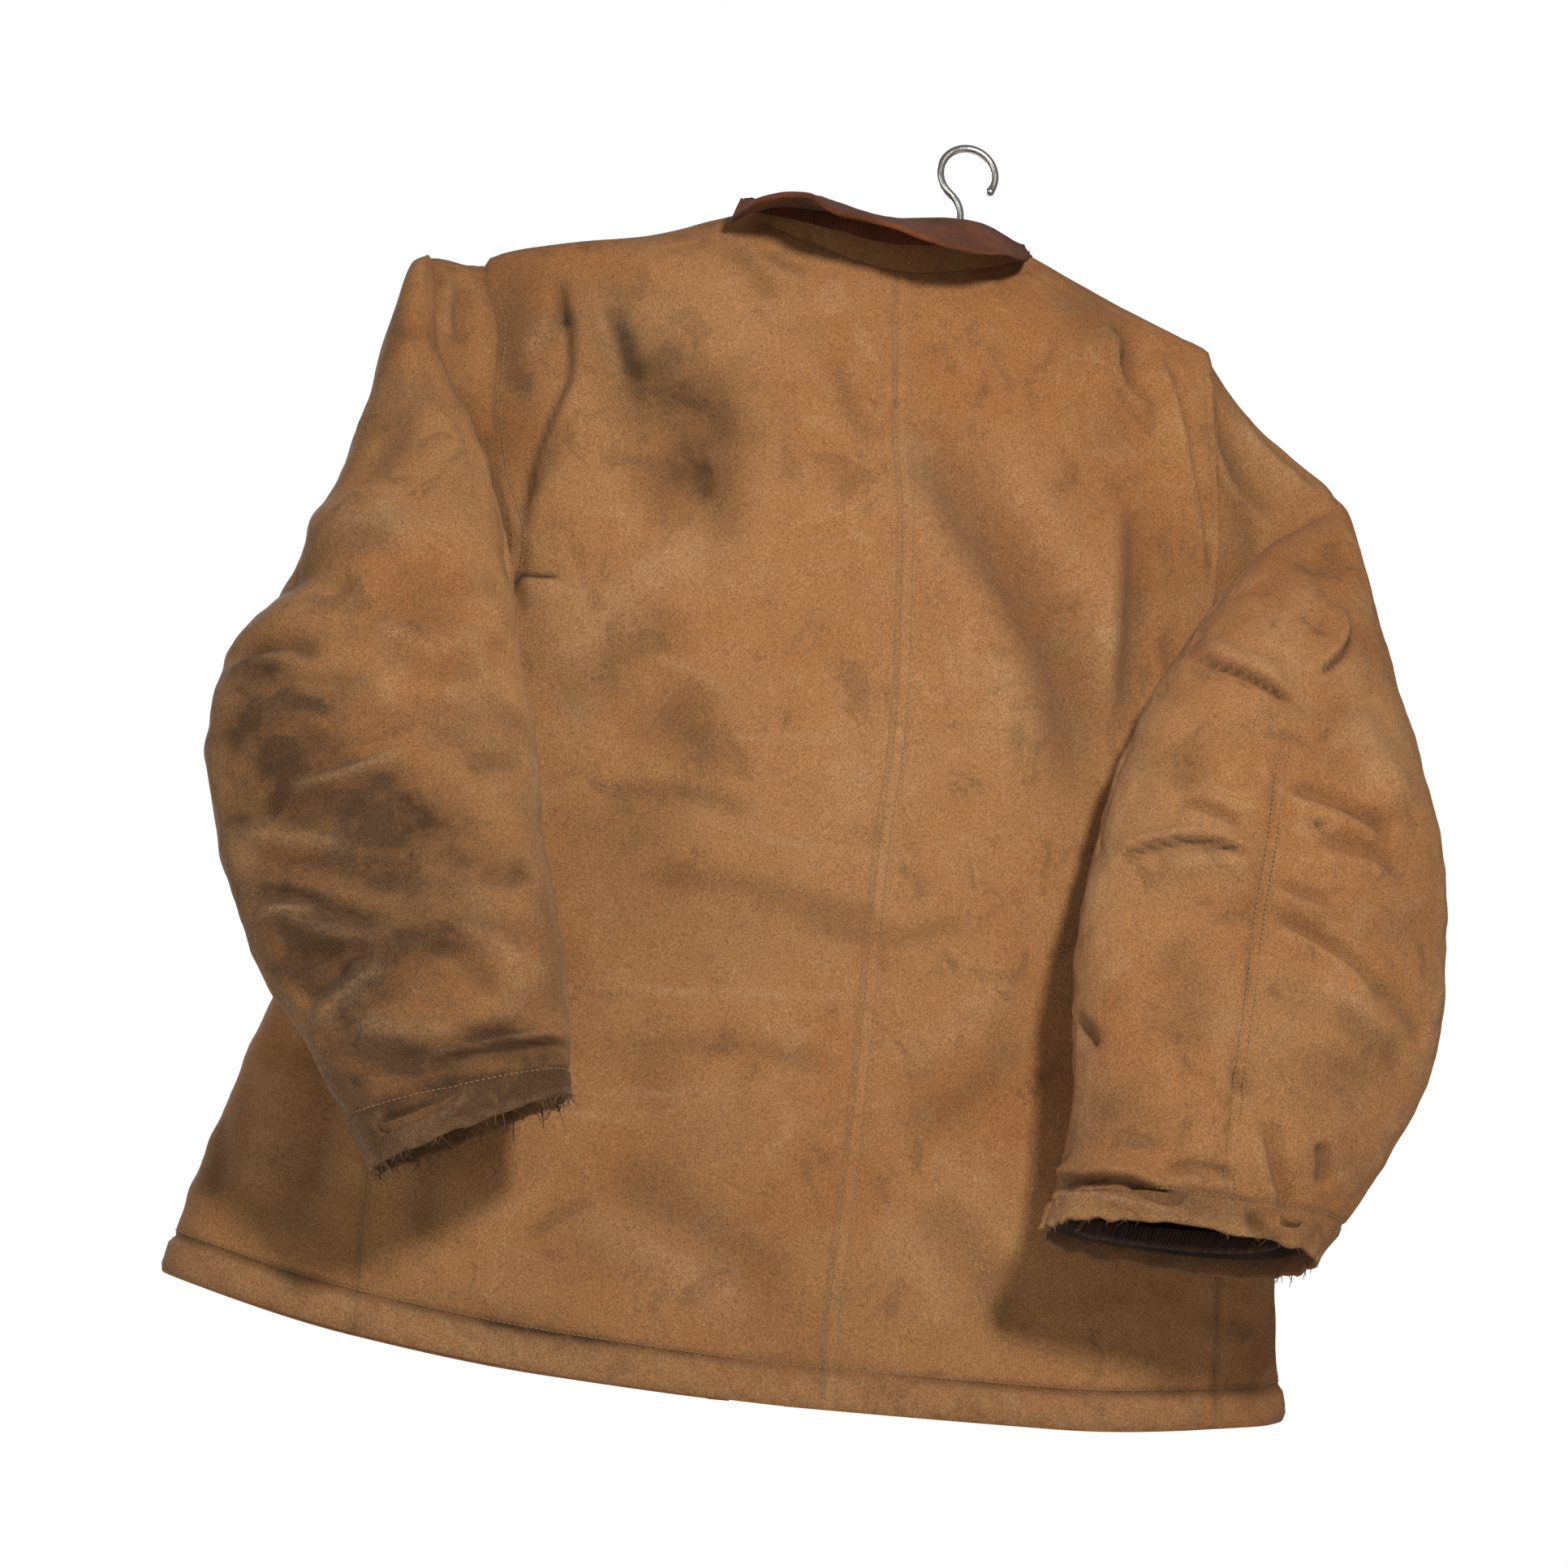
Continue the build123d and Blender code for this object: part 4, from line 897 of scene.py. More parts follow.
# ------------------------------------------------------------------ sleeves
# Rings of a sleeve: outer and inner edge in XZ, the middle's depth and half its thickness.
LEFT_CAP = [((301, -25), (262, -290), 4, 31), ((319, -29), (270, -298), 12, 33),
            ((338, -104), (270, -306), 30, 30), ((350, -190), (264, -320), 56, 28)]
RIGHT_CAP = [((-264, -44), (-258, -292), 4, 31), ((-303, -82), (-268, -300), 14, 34),
             ((-331, -114), (-270, -308), 30, 32), ((-345, -190), (-262, -322), 58, 30)]
LEFT_SOCK = [((322, -33), (319, -36), 30, 2), ((333, -44), (314, -56), 34, 14),
             ((341, -88), (309, -98), 42, 23),
             ((353, -158), (279, -158), 56, 33), ((369, -225), (258, -215), 76, 39),
             ((391, -300), (238, -290), 96, 43), ((419, -352), (226, -350), 110, 45),
             ((425, -398), (216, -400), 120, 45), ((413, -450), (204, -450), 132, 44),
             ((379, -536), (188, -520), 147, 42), ((336, -598), (180, -572), 158, 39),
             ((293, -664), (177, -606), 168, 35)]
RIGHT_SOCK = [((-333, -112), (-329, -116), 30, 2), ((-341, -126), (-311, -138), 38, 14),
              ((-346, -155), (-286, -158), 50, 23),
              ((-353, -205), (-244, -206), 70, 33), ((-363, -262), (-207, -262), 92, 41),
              ((-375, -320), (-177, -320), 110, 45), ((-382, -365), (-161, -365), 122, 47),
              ((-386, -408), (-150, -408), 132, 47), ((-385, -460), (-139, -460), 142, 46),
              ((-380, -515), (-137, -515), 150, 45), ((-361, -560), (-138, -560), 157, 43),
              ((-337, -604), (-134, -610), 163, 40), ((-296, -664), (-122, -658), 170, 37)]

LEFT_SLEEVE_FOLDS = [
    ("fold", [(424, -358), (404, -349), (377, -344), (358, -356)], 7, 4.5),
    ("groove", [(396, -429), (366, -412), (348, -400)], 7, 3.0),
    ("crease", [(372, -441), (344, -431), (321, -419), (298, -404)], 4.0, 3.6),
    ("groove", [(380, -456), (344, -448), (318, -436)], 8, 3.6),
    ("ridge", [(398, -471), (359, -471), (322, -474)], 7, 3.2),
    ("groove", [(396, -488), (352, -488), (310, -494), (280, -486)], 7, 3.8),
    ("fold", [(384, -503), (355, -507), (335, -515), (313, -517), (296, -510)], 6, 4.0),
    ("crease", [(380, -523), (366, -516), (342, -512)], 3.5, 2.4),
    ("groove", [(362, -546), (330, -540), (304, -530)], 9, 4.0),
    ("ridge", [(338, -586), (324, -568), (307, -551), (292, -545)], 7, 4.2),
    ("groove", [(348, -572), (332, -556), (318, -544)], 7, 3.0),
    ("groove", [(264, -413), (248, -405), (224, -400)], 7, 2.4),
    ("groove", [(248, -474), (233, -481), (214, -469)], 7, 2.6),
    ("groove", [(277, -529), (258, -529), (242, -542), (226, -553)], 7, 3.2),
    ("ridge", [(262, -512), (238, -520), (214, -540)], 9, 3.0),
    ("ridge", [(318, -580), (282, -582), (248, -577)], 8, 3.6),
    ("groove", [(300, -606), (270, -598), (236, -580), (200, -568)], 6, 3.4),
    ("tuck", [(176, -578), (190, -577), (218, -583), (251, -592), (278, -607)], 3.4, 3.6),
    ("fold", [(293, -642), (267, -628), (243, -609)], 4.5, 3.4),
    ("groove", [(400, -300), (370, -290), (340, -306)], 12, 3.0),
    ("ridge", [(386, -256), (340, -250), (300, -270)], 16, 3.0),
    ("groove", [(330, -340), (290, -350), (256, -338)], 10, 2.2),
    ("ridge", [(336, -326), (292, -334), (250, -318)], 10, 2.0),
    ("groove", [(352, -230), (330, -180), (326, -120)], 14, 2.6),
]
LEFT_SLEEVE_STAINS = [
    (390, -378, 34, 30, 0, 0.72), (366, -392, 34, 24, 0, 0.55), (340, -366, 20, 16, 0, 0.35),
    (330, -440, 62, 22, 15, 0.60), (318, -468, 44, 34, 0, 0.62), (300, -446, 24, 26, 0, 0.55),
    (380, -452, 26, 16, 0, 0.45), (366, -506, 32, 12, 10, 0.55), (340, -540, 40, 28, 10, 0.72),
    (316, -556, 40, 26, 20, 0.50), (290, -520, 36, 22, 0, 0.42), (266, -486, 26, 24, 0, 0.35),
    (300, -618, 30, 26, 30, 0.50), (250, -612, 44, 18, 24, 0.62), (204, -590, 40, 18, 14, 0.62),
    (262, -395, 22, 14, 0, 0.34), (240, -372, 18, 12, 0, 0.30), (276, -376, 20, 20, 0, 0.26),
    (330, -150, 20, 40, 0, 0.20), (352, -264, 34, 30, 0, 0.30), (300, -300, 26, 20, 0, 0.22),
    (336, -220, 26, 16, 0, 0.24), (322, -322, 40, 14, 0, 0.20), (262, -540, 30, 30, 0, 0.22),
    (338, -640, 24, 60, 20, 0.5), (404, -430, 12, 60, 0, 0.35), (400, -330, 14, 40, 0, 0.3),
]
RIGHT_SLEEVE_FOLDS = [
    ("tuck", [(-276, -299), (-244, -283), (-208, -270)], 3.2, 3.6),
    ("ridge", [(-270, -284), (-240, -270), (-212, -260)], 8, 3.0),
    ("tuck", [(-242, -410), (-221, -405), (-200, -403), (-173, -409), (-152, -417)], 3.2, 4.2),
    ("fold", [(-192, -376), (-215, -382), (-233, -390)], 4.5, 4.0),
    ("ridge", [(-244, -420), (-214, -418), (-178, -424)], 8, 3.4),
    ("fold", [(-250, -440), (-262, -450), (-284, -459), (-305, -470), (-332, -492)], 5, 4.0),
    ("fold", [(-254, -422), (-272, -430), (-296, -434)], 4.5, 3.0),
    ("fold", [(-262, -358), (-293, -363), (-318, -372), (-340, -388)], 6, 3.4),
    ("fold", [(-280, -392), (-316, -396), (-346, -408)], 6, 3.2),
    ("tuck", [(-320, -214), (-318, -236), (-308, -256), (-287, -276)], 3.6, 3.4),
    ("step", [(-270, -296), (-255, -350), (-246, -405), (-232, -505), (-224, -564), (-221, -644)],
     2.2, 1.5),
    ("groove", [(-320, -480), (-346, -500), (-366, -520)], 7, 2.6),
    ("groove", [(-290, -500), (-320, -520), (-350, -540)], 9, 2.6),
    ("ridge", [(-276, -484), (-310, -504), (-340, -524)], 9, 2.6),
    ("fold", [(-128, -522), (-138, -531), (-143, -545)], 5, 4.5),
    ("fold", [(-250, -580), (-258, -610), (-268, -636)], 5, 4.6),
    ("groove", [(-286, -588), (-290, -605), (-288, -618)], 4.5, 4.0),
    ("fold", [(-228, -548), (-232, -558), (-242, -568)], 5, 2.6),
    ("tuck", [(-204, -634), (-184, -631), (-161, -625), (-134, -626), (-118, -638)], 3.6, 4.4),
    ("crease", [(-116, -645), (-140, -637), (-170, -640), (-200, -645)], 3.0, 2.0),
    ("fold", [(-184, -619), (-209, -614), (-238, -617)], 4.0, 3.0),
    ("fold", [(-236, -638), (-252, -651), (-272, -659)], 4.0, 3.4),
    ("groove", [(-188, -330), (-200, -352), (-190, -372)], 12, 2.4),
    ("ridge", [(-300, -300), (-330, -330), (-348, -370)], 16, 3.0),
    ("groove", [(-176, -470), (-200, -500), (-196, -550)], 18, 2.6),
    ("ridge", [(-306, -196), (-270, -240), (-240, -266)], 14, 2.6),
    ("groove", [(-330, -160), (-316, -176), (-290, -190)], 9, 2.4),
]
RIGHT_SLEEVE_STAINS = [
    (-175, -345, 24, 18, 30, 0.24), (-262, -500, 20, 20, 0, 0.34), (-290, -546, 20, 16, 0, 0.40),
    (-146, -594, 24, 20, 0, 0.36), (-170, -584, 20, 26, 0, 0.24), (-312, -545, 20, 26, 0, 0.32),
    (-300, -318, 30, 30, 0, 0.24), (-330, -240, 14, 40, 0, 0.26), (-196, -424, 26, 10, 0, 0.30),
    (-240, -430, 12, 40, 10, 0.28), (-282, -383, 3.2, 3.2, 0, 0.9), (-309, -370, 7, 3, 0, 0.8),
    (-252, -499, 1.8, 1.8, 0, 0.9), (-255, -520, 1.8, 1.8, 0, 0.9), (-198, -576, 1.8, 1.8, 0, 0.9),
    (-300, -600, 26, 22, 0, 0.34), (-190, -640, 70, 14, 0, 0.30), (-340, -450, 20, 40, 0, 0.20),
    (-354, -330, 16, 80, 0, 0.2), (-130, -520, 12, 60, 0, 0.18), (-326, -372, 16, 6, -20, 0.5),
]


RIGHT_CAP_FOLDS = [
    ("fold", [(-241, -52), (-250, -82), (-262, -108), (-289, -142)], 5.5, 5.5),
    ("groove", [(-262, -120), (-268, -160), (-262, -200)], 7, 3.5),
    ("ridge", [(-256, -60), (-282, -92), (-310, -118)], 9, 4),
    ("groove", [(-270, -58), (-296, -88), (-322, -112)], 5, 3),
]
LEFT_CAP_FOLDS = [
    ("groove", [(294, -40), (296, -70), (290, -100)], 6, 3.5),
    ("ridge", [(303, -44), (304, -70), (300, -96)], 5, 2.5),
    ("groove", [(288, -120), (278, -160), (266, -200)], 6, 3),
]

Sleeve = namedtuple("Sleeve", "side name armhole cap cap_folds sock folds stains seed tilt elbow "
                              "yarns yarn_lengths")
SLEEVES = [
    Sleeve(1, "left", LEFT_ARMHOLE, LEFT_CAP, LEFT_CAP_FOLDS, LEFT_SOCK, LEFT_SLEEVE_FOLDS,
           LEFT_SLEEVE_STAINS, 60, 4.0, -402, 230, (2.0, 9.0)),
    Sleeve(-1, "right", RIGHT_ARMHOLE, RIGHT_CAP, RIGHT_CAP_FOLDS, RIGHT_SOCK, RIGHT_SLEEVE_FOLDS,
           RIGHT_SLEEVE_STAINS, 80, 11.0, -408, 90, (1.5, 5.0)),
]
SLEEVE_ROWS, SLEEVE_AROUND = 216, 172
CAP_ROWS, CAP_AROUND = 44, 104
CUFF_BAND = 24.0              # from the cuff's stitching to its rim


def ring_points(rings, at, angle, flat, tilt=0.0):
    """A sleeve's surface: rings taken smoothly between the ones given."""
    table = np.array([(o[0], o[1], i[0], i[1], y, h) for o, i, y, h in rings], float)
    middle = np.stack([(table[:, 0] + table[:, 2]) / 2, table[:, 4],
                       (table[:, 1] + table[:, 3]) / 2], 1)
    s = lengths(middle)
    want = at * s[-1]
    ox, oz, ix, iz, y, h = (curve(s, table[:, k], want)[:, None] for k in range(6))
    power = 2.0 / flat
    c, v = np.cos(angle)[None, :], np.sin(angle)[None, :]
    c, v = squashed(c, power[:, None]), squashed(v, power[:, None])
    x = (ox + ix) / 2 - (ox - ix) / 2 * c
    z = (oz + iz) / 2 - (oz - iz) / 2 * c
    yy = y + h * v
    z = z + tilt * smooth((at[:, None] - 0.8) / 0.2) * v
    return np.stack([x, yy, z], 2), s[-1]


def outward(p):
    """Normals of a closed tube grid, away from its middle."""
    wide = np.concatenate([p[:, -1:], p, p[:, :1]], 1)
    n = grid_normals(wide)[:, 1:-1]
    middle = p.mean(1, keepdims=True)
    if ((p - middle) * n).sum() < 0:
        n = -n
    return n


def sleeve_cloth(sleeve):
    """The hanging part of one sleeve, as a closed grid from the shoulder's tip to the cuff."""
    seed = sleeve.seed
    at = np.linspace(0, 1, SLEEVE_ROWS)
    angle = np.linspace(0, 2 * math.pi, SLEEVE_AROUND, endpoint=False)
    flat = 2.0 + 0.4 * smooth(at / 0.45)
    p, length = ring_points(sleeve.sock, at, angle, flat, sleeve.tilt)
    n = outward(p)
    x, z = p[..., 0], p[..., 2]
    back = smooth((n[..., 1] + 0.15) / 0.4)
    lift, dirt_and_shade, wear = fold_field(x, z, sleeve.folds)
    lift, dirt_and_shade, wear = lift * back * 1.45, dirt_and_shade * back, wear * back
    broken = 0.82 + 0.34 * noise(x, z, 26, 11, seed + 11) + 0.20 * noise(x, z, 11, 6, seed + 12)
    dirt_and_shade += blobs(x, z, sleeve.stains) * (0.3 + 0.7 * back) * broken
    girth = np.linalg.norm(np.diff(p[100], axis=0), axis=1).sum()
    s = np.tile(angle / (2 * math.pi) * girth, (len(at), 1))
    down = np.tile(at[:, None] * length, (1, SLEEVE_AROUND))
    wrap = 0.5 - 0.5 * np.cos(angle)[None, :]
    grow = smooth(at / 0.25)[:, None]
    lift += grow * (2.6 * noise(s, down, 70, 60, seed) + 1.2 * noise(s, down, 40, 20, seed + 1)
                    + 0.6 * noise(s, down, 14, 14, seed + 2) + 0.3 * noise(s, down, 7, 7, seed + 3))
    front = 1 - back
    lift += front * grow * 2.4 * noise(s, down, 60, 26, seed + 4)
    # the edges that hang free are pinched flat by their own weight
    pinch = np.exp(-(wrap / 0.05) ** 2) + np.exp(-((wrap - 1.0) / 0.05) ** 2)
    lift += -0.6 * pinch
    wear += 0.35 * pinch * smooth(at / 0.2)[:, None] + 0.16 * np.clip(
        noise(s, down, 60, 40, seed + 5), 0, 1)
    dirt_and_shade += 0.14 * np.clip(noise(s, down, 44, 30, seed + 6), 0, 1)
    # the cuff: a stitched band with a rolled, gathered rim
    from_end = length - down
    stitched = np.exp(-((from_end - CUFF_BAND) / 1.8) ** 2)
    band = smooth((CUFF_BAND - from_end) / 4)
    ripple = noise(s, from_end, 13, 40, seed + 7)
    lift += -1.9 * stitched + band * (1.6 + 1.2 * ripple) + 0.9 * np.exp(
        -((from_end - CUFF_BAND) / 16.0) ** 2) * noise(s, from_end, 17, 30, seed + 8)
    # painted shade in the cuff's stitched groove and in the hollows of its ripples, on an evenly darker
    # band
    dirt_and_shade += 0.5 * stitched + band * (0.20 - 0.10 * ripple)
    if sleeve.side > 0:
        dirt_and_shade += band * 0.70 + 0.30 * smooth((-335 - z) / 110) + 0.22 * noise(s, down, 30, 24, 77)
    rim = smooth((6 - from_end) / 6)
    lift += 0.9 * rim * noise(s, from_end, 8, 30, seed + 9)
    wear += 0.2 * rim + 0.06 * band
    sunk = p + n * np.minimum(lift, 0)[..., None]
    p = p + n * lift[..., None]
    p[..., 2] += rim * 1.6 * noise(s, from_end * 0, 9, 5, seed + 10)
    return p, n, np.clip(dirt_and_shade, 0, 1), np.clip(wear, 0, 1), sunk


def turned_rim(p, n, dirt_and_shade, wear):
    """The sleeve's end rolled in over its own edge."""
    end, up = p[-1], n[-1]
    ahead = p[-1] - p[-3]
    ahead /= np.linalg.norm(ahead, axis=1, keepdims=True)
    extra = np.array([end - up * 1.0 + ahead * 1.2, end - up * 2.4 + ahead * 1.2,
                      end - up * 3.6 - ahead * 0.6, end - up * 4.4 - ahead * 8.0,
                      end - up * 5.0 - ahead * 20.0])
    count = len(extra)
    return (np.concatenate([p, extra]), np.concatenate([dirt_and_shade] + [dirt_and_shade[-1:] * 0 + 0.7] * count),
            np.concatenate([wear] + [wear[-1:] * 0.2] * count))


def cap_cloth(sleeve):
    """The sleeve's head, from the armhole seam out to inside the hanging part."""
    seed = sleeve.seed + 10
    angle = np.linspace(0, 2 * math.pi, CAP_AROUND, endpoint=False)
    line = along(rounded(sleeve.armhole, 60), 201)
    body = torso_before.reshape(-1, 3)
    start = []
    for a in angle:
        share = (1 + math.cos(a)) / 2
        x, z = line[int(round(share * 200))] - np.array([sleeve.side * 5.0, 0])
        back = math.sin(a) >= 0
        close = body[(abs(body[:, 0] - x) < 14) & (abs(body[:, 2] - z) < 14)
                     & ((body[:, 1] > 0) == back)]
        depth = 0.0
        if len(close) and abs(math.sin(a)) > 0.08:
            d = np.hypot(close[:, 0] - x, close[:, 2] - z)
            k = np.argsort(d)[:4]
            w = 1 / (d[k] + 0.4)
            depth = float((close[k, 1] * w).sum() / w.sum())
        start.append((x, depth, z))
    start = np.array(start)
    rows = [start]
    for outer, inner, y, half in sleeve.cap:
        c, v = np.cos(angle), np.sin(angle)
        c, v = squashed(c, 0.9), squashed(v, 0.9)
        rows.append(np.stack([(outer[0] + inner[0]) / 2 - (outer[0] - inner[0]) / 2 * c,
                              y + half * v,
                              (outer[1] + inner[1]) / 2 - (outer[1] - inner[1]) / 2 * c], 1))
    rows = np.array(rows)
    middle = rows.mean(1)
    s = np.concatenate([[0], np.cumsum(np.linalg.norm(np.diff(middle, axis=0), axis=1) + 12)])
    want = np.linspace(0, s[-1], CAP_ROWS)
    p = np.empty((CAP_ROWS, CAP_AROUND, 3))
    for a in range(CAP_AROUND):
        for k in range(3):
            p[:, a, k] = curve(s, rows[:, a, k], want)
    n = outward(p)
    x, z = p[..., 0], p[..., 2]
    back = smooth((n[..., 1] + 0.1) / 0.3)
    fade = smooth(want / 16)[:, None]
    lift, dirt_and_shade, wear = fold_field(x, z, sleeve.cap_folds)
    u = np.tile(angle * 60, (CAP_ROWS, 1))
    v = np.tile(want[:, None], (1, CAP_AROUND))
    lift = lift * back + 1.6 * noise(u, v, 30, 30, seed) + 0.5 * noise(u, v, 12, 12, seed + 1)
    p = p + n * (lift * fade)[..., None]
    p[0] += n[0] * 0.6
    p[1] += n[1] * 1.0
    # painted shade along the armhole seam and, evenly, over the whole head, which lies in the hanging
    # sleeve's shade; the noise on top is mottled dirt
    dirt_and_shade = dirt_and_shade * back + 0.35 * np.exp(-(want / 4) ** 2)[:, None] + 0.20 \
        + 0.2 * noise(u, v, 40, 30, seed + 2)
    return p, np.clip(dirt_and_shade, 0, 1), np.clip(wear * back, 0, 1)


def past_elbow(obj):
    """Bakes a sleeve piece's placement into its mesh."""
    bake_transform(obj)


def hanging_canvas(sleeve, p, n, dirt_and_shade, wear):
    """The sleeve's canvas below its head, with its rim turned in."""
    p, dirt_and_shade, wear = turned_rim(p, n, dirt_and_shade, wear)
    name = sleeve.name
    hanging = cloth(f"{name}_sleeve_canvas", p, SLEEVE_CANVAS, {"dirt_and_shade": dirt_and_shade, "wear": wear},
                    closed=True)
    past_elbow(hanging)
    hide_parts(f"{name}_top_sleeve_upper", f"{name}_under_sleeve_upper",
                f"{name}_top_sleeve_lower", f"{name}_under_sleeve_lower")


def sleeve_head(sleeve):
    """The sleeve's head, as one closed piece of canvas."""
    head, dirt_and_shade, wear = cap_cloth(sleeve)
    cap = cloth(f"{sleeve.name}_sleeve_head", head, SLEEVE_CANVAS, {"dirt_and_shade": dirt_and_shade, "wear": wear},
                closed=True)
    top, foot = (np.array(sleeve.armhole[k], float) for k in (0, -1))
    line = foot - top
    line /= np.linalg.norm(line)
    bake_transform(cap)


def sleeve_quilting(sleeve, sunk, n):
    """The quilted lining, seen up the sleeve's opening."""
    rows = np.arange(44, SLEEVE_ROWS - 3)
    q, m = sunk[rows], n[rows]
    turn = np.linspace(0, 2 * math.pi, q.shape[1], endpoint=False)
    hills = 1.0 * noise(turn[None] * 70 + q[..., 2] * 0, q[..., 2], 30, 30, 7)
    q = q - m * (7.0 + hills)[..., None]
    lining = cloth(f"{sleeve.name}_sleeve_quilting", q, LINING, closed=True, flip=True)
    past_elbow(lining)
    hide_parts(f"{sleeve.name}_sleeve_lining_upper", f"{sleeve.name}_sleeve_lining_lower")


def rib_cuff(sleeve, sunk, n):
    """The knitted cuff set inside the sleeve's rim."""
    rows = np.arange(SLEEVE_ROWS - 24, SLEEVE_ROWS - 3)
    q, m = sunk[rows], n[rows]
    turn = np.linspace(0, 2 * math.pi, q.shape[1], endpoint=False)
    ribs = 0.9 * np.cos(turn * 66)[None, :]
    narrow = 8.8 + 10.0 * smooth(np.linspace(0, 1, len(rows)))
    q = q - m * (narrow[:, None] + ribs)[..., None]
    edge = np.array([q[-1] - m[-1] * 1.6, q[-2] - m[-2] * 3.4, q[-6] - m[-6] * 3.6])
    knit = cloth(f"{sleeve.name}_rib_cuff", np.concatenate([q, edge]), KNIT, closed=True)
    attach(knit, f"{sleeve.name}_lower_sleeve")
    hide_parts(f"{sleeve.name}_knit_cuff")


def cuff_fray(sleeve, p, n):
    """Yarns frayed from the cuff's worn rim."""
    own = np.random.default_rng(200 + sleeve.side)
    end, down_way = p[-1], p[-1] - p[-4]
    down_way /= np.linalg.norm(down_way, axis=1, keepdims=True)
    shape = tube_faces(6, 4)
    points, faces = [], []
    for _ in range(sleeve.yarns):
        k = own.integers(0, len(end))
        beside = (end[(k + 1) % len(end)] - end[k]) * own.random()
        start = end[k] + beside - n[-1][k] * own.random() * 2.5
        way = down_way[k] * own.uniform(0.5, 1.0) + own.normal(0, 0.45, 3)
        bend = own.normal(0, 0.5, 3)
        out = own.uniform(*sleeve.yarn_lengths)
        faces += [tuple(len(points) + v for v in face) for face in shape]
        for t in np.linspace(0, 1, 6):
            middle = start + way * out * t + bend * out * t * t
            thin = 0.42 * (1 - 0.6 * t)
            for a in (0, math.pi / 2, math.pi, math.pi * 1.5):
                points.append(middle + thin * np.array([math.cos(a), math.sin(a), 0.2]))
    fray = add_mesh(f"{sleeve.name}_cuff_fray", points, faces, material=PALE_THREAD)
    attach(fray, f"{sleeve.name}_lower_sleeve")


def cuff_stitches(sleeve, p, n):
    """The row of stitches round the cuff."""
    steps = np.linalg.norm(np.diff(p[:, SLEEVE_AROUND // 4], axis=0), axis=1)
    from_end = np.concatenate([np.cumsum(steps[::-1])[::-1], [0]])
    row = int(np.argmin(abs(from_end - CUFF_BAND)))
    ups = np.concatenate([n[row], n[row, :1]])
    loop = np.concatenate([p[row], p[row, :1]]) + ups * 0.3
    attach(stitches(f"{sleeve.name}_cuff_stitches", [(loop, ups)]), f"{sleeve.name}_lower_sleeve")


def seam_stitches(p, n):
    """The two rows beside the right sleeve's seam."""
    seam = rounded([(-270, -296), (-262, -322), (-255, -350), (-246, -405), (-238, -450),
                    (-232, -505), (-226, -564), (-222, -618), (-221, -644)], 120)
    flat, ups = p.reshape(-1, 3), n.reshape(-1, 3)
    spots, ups = laid_on(seam, flat, ups, (ups[:, 1] < 0.1) * 60, 0.3)
    rows = [(spots + np.array([off, 0, 0]), ups) for off in (-2.2, -8.4)]
    past_elbow(stitches("right_sleeve_seam_stitches", rows))


for sleeve in SLEEVES:
    p, n, dirt_and_shade, wear, sunk = sleeve_cloth(sleeve)
    hanging_canvas(sleeve, p, n, dirt_and_shade, wear)
    sleeve_head(sleeve)
    sleeve_quilting(sleeve, sunk, n)
    rib_cuff(sleeve, sunk, n)
    cuff_fray(sleeve, p, n)
    cuff_stitches(sleeve, p, n)
    if sleeve.side < 0:
        seam_stitches(p, n)


# ------------------------------------------------------------------ collar
def at_angle(phi, wide, deep):
    return np.stack([wide * np.cos(phi), 3 + deep * np.sin(phi)], -1)


FOLD_X = [-109, -92, -84, -74, -61, -53, -34, -19, -5, 4, 24, 39, 47, 70, 98, 109]
FOLD_Z = [44, 36, 37, 39, 43, 44, 42, 39, 36, 34, 35, 38, 37, 39, 43, 46]


def stand_top(x):
    return curve(FOLD_X, FOLD_Z, x)


neck_row = torso_before[0]
neck_phi = np.arctan2((neck_row[:, 1] - 3) / NECK[1], neck_row[:, 0] / NECK[0])
turns = np.radians(np.linspace(-16, 196, 120))
wrapped = np.where(neck_phi < -math.pi / 2, neck_phi + 2 * math.pi, neck_phi)
order = np.argsort(wrapped)
foot_z = np.interp(turns, wrapped[order], neck_row[order, 2]) - 5
rows = []
# up the stand's outside, then over its top and down its inside
for t in (0, 0.12, 0.3, 0.5, 0.7, 0.88, 1.0):
    xy = at_angle(turns, 107.5 - 0.8 * t, 49.5 - 0.8 * t + 2.0 * math.sin(math.pi * t))
    rows.append(np.concatenate([xy, (foot_z + (stand_top(xy[:, 0]) - foot_z) * t)[:, None]], 1))
for wide, deep, rise in ((105.6, 47.2, 0.8), (104.2, 46.0, -1.5), (104.0, 45.8, -14),
                         (103.6, 45.4, -34)):
    xy = at_angle(turns, wide, deep)
    rows.append(np.concatenate([xy, np.maximum(stand_top(xy[:, 0]) + rise, foot_z)[:, None]], 1))
rows = np.array(rows)
rows[..., 1] += 0.6 * noise(rows[..., 0], rows[..., 2], 16, 14, 111)


def lower_part_canvas(obj, across, rows, above=True):
    """Gives canvas to the rows of a grid before, or from, the one named."""
    obj.data.materials.append(CANVAS)
    for poly in obj.data.polygons:
        if (poly.index // (across - 1) < rows) == above:
            poly.material_index = 1


# painted shade: the stand's lowest rows are canvas, evenly darkened as the shade under the collar
stand = cloth("collar_stand_corduroy", rows, CORDUROY,
              {"dirt_and_shade": rows[..., 0] * 0 + 0.25, "wear": rows[..., 0] * 0})
lower_part_canvas(stand, len(turns), 3)
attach(stand, "coat")
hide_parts("collar_stand")

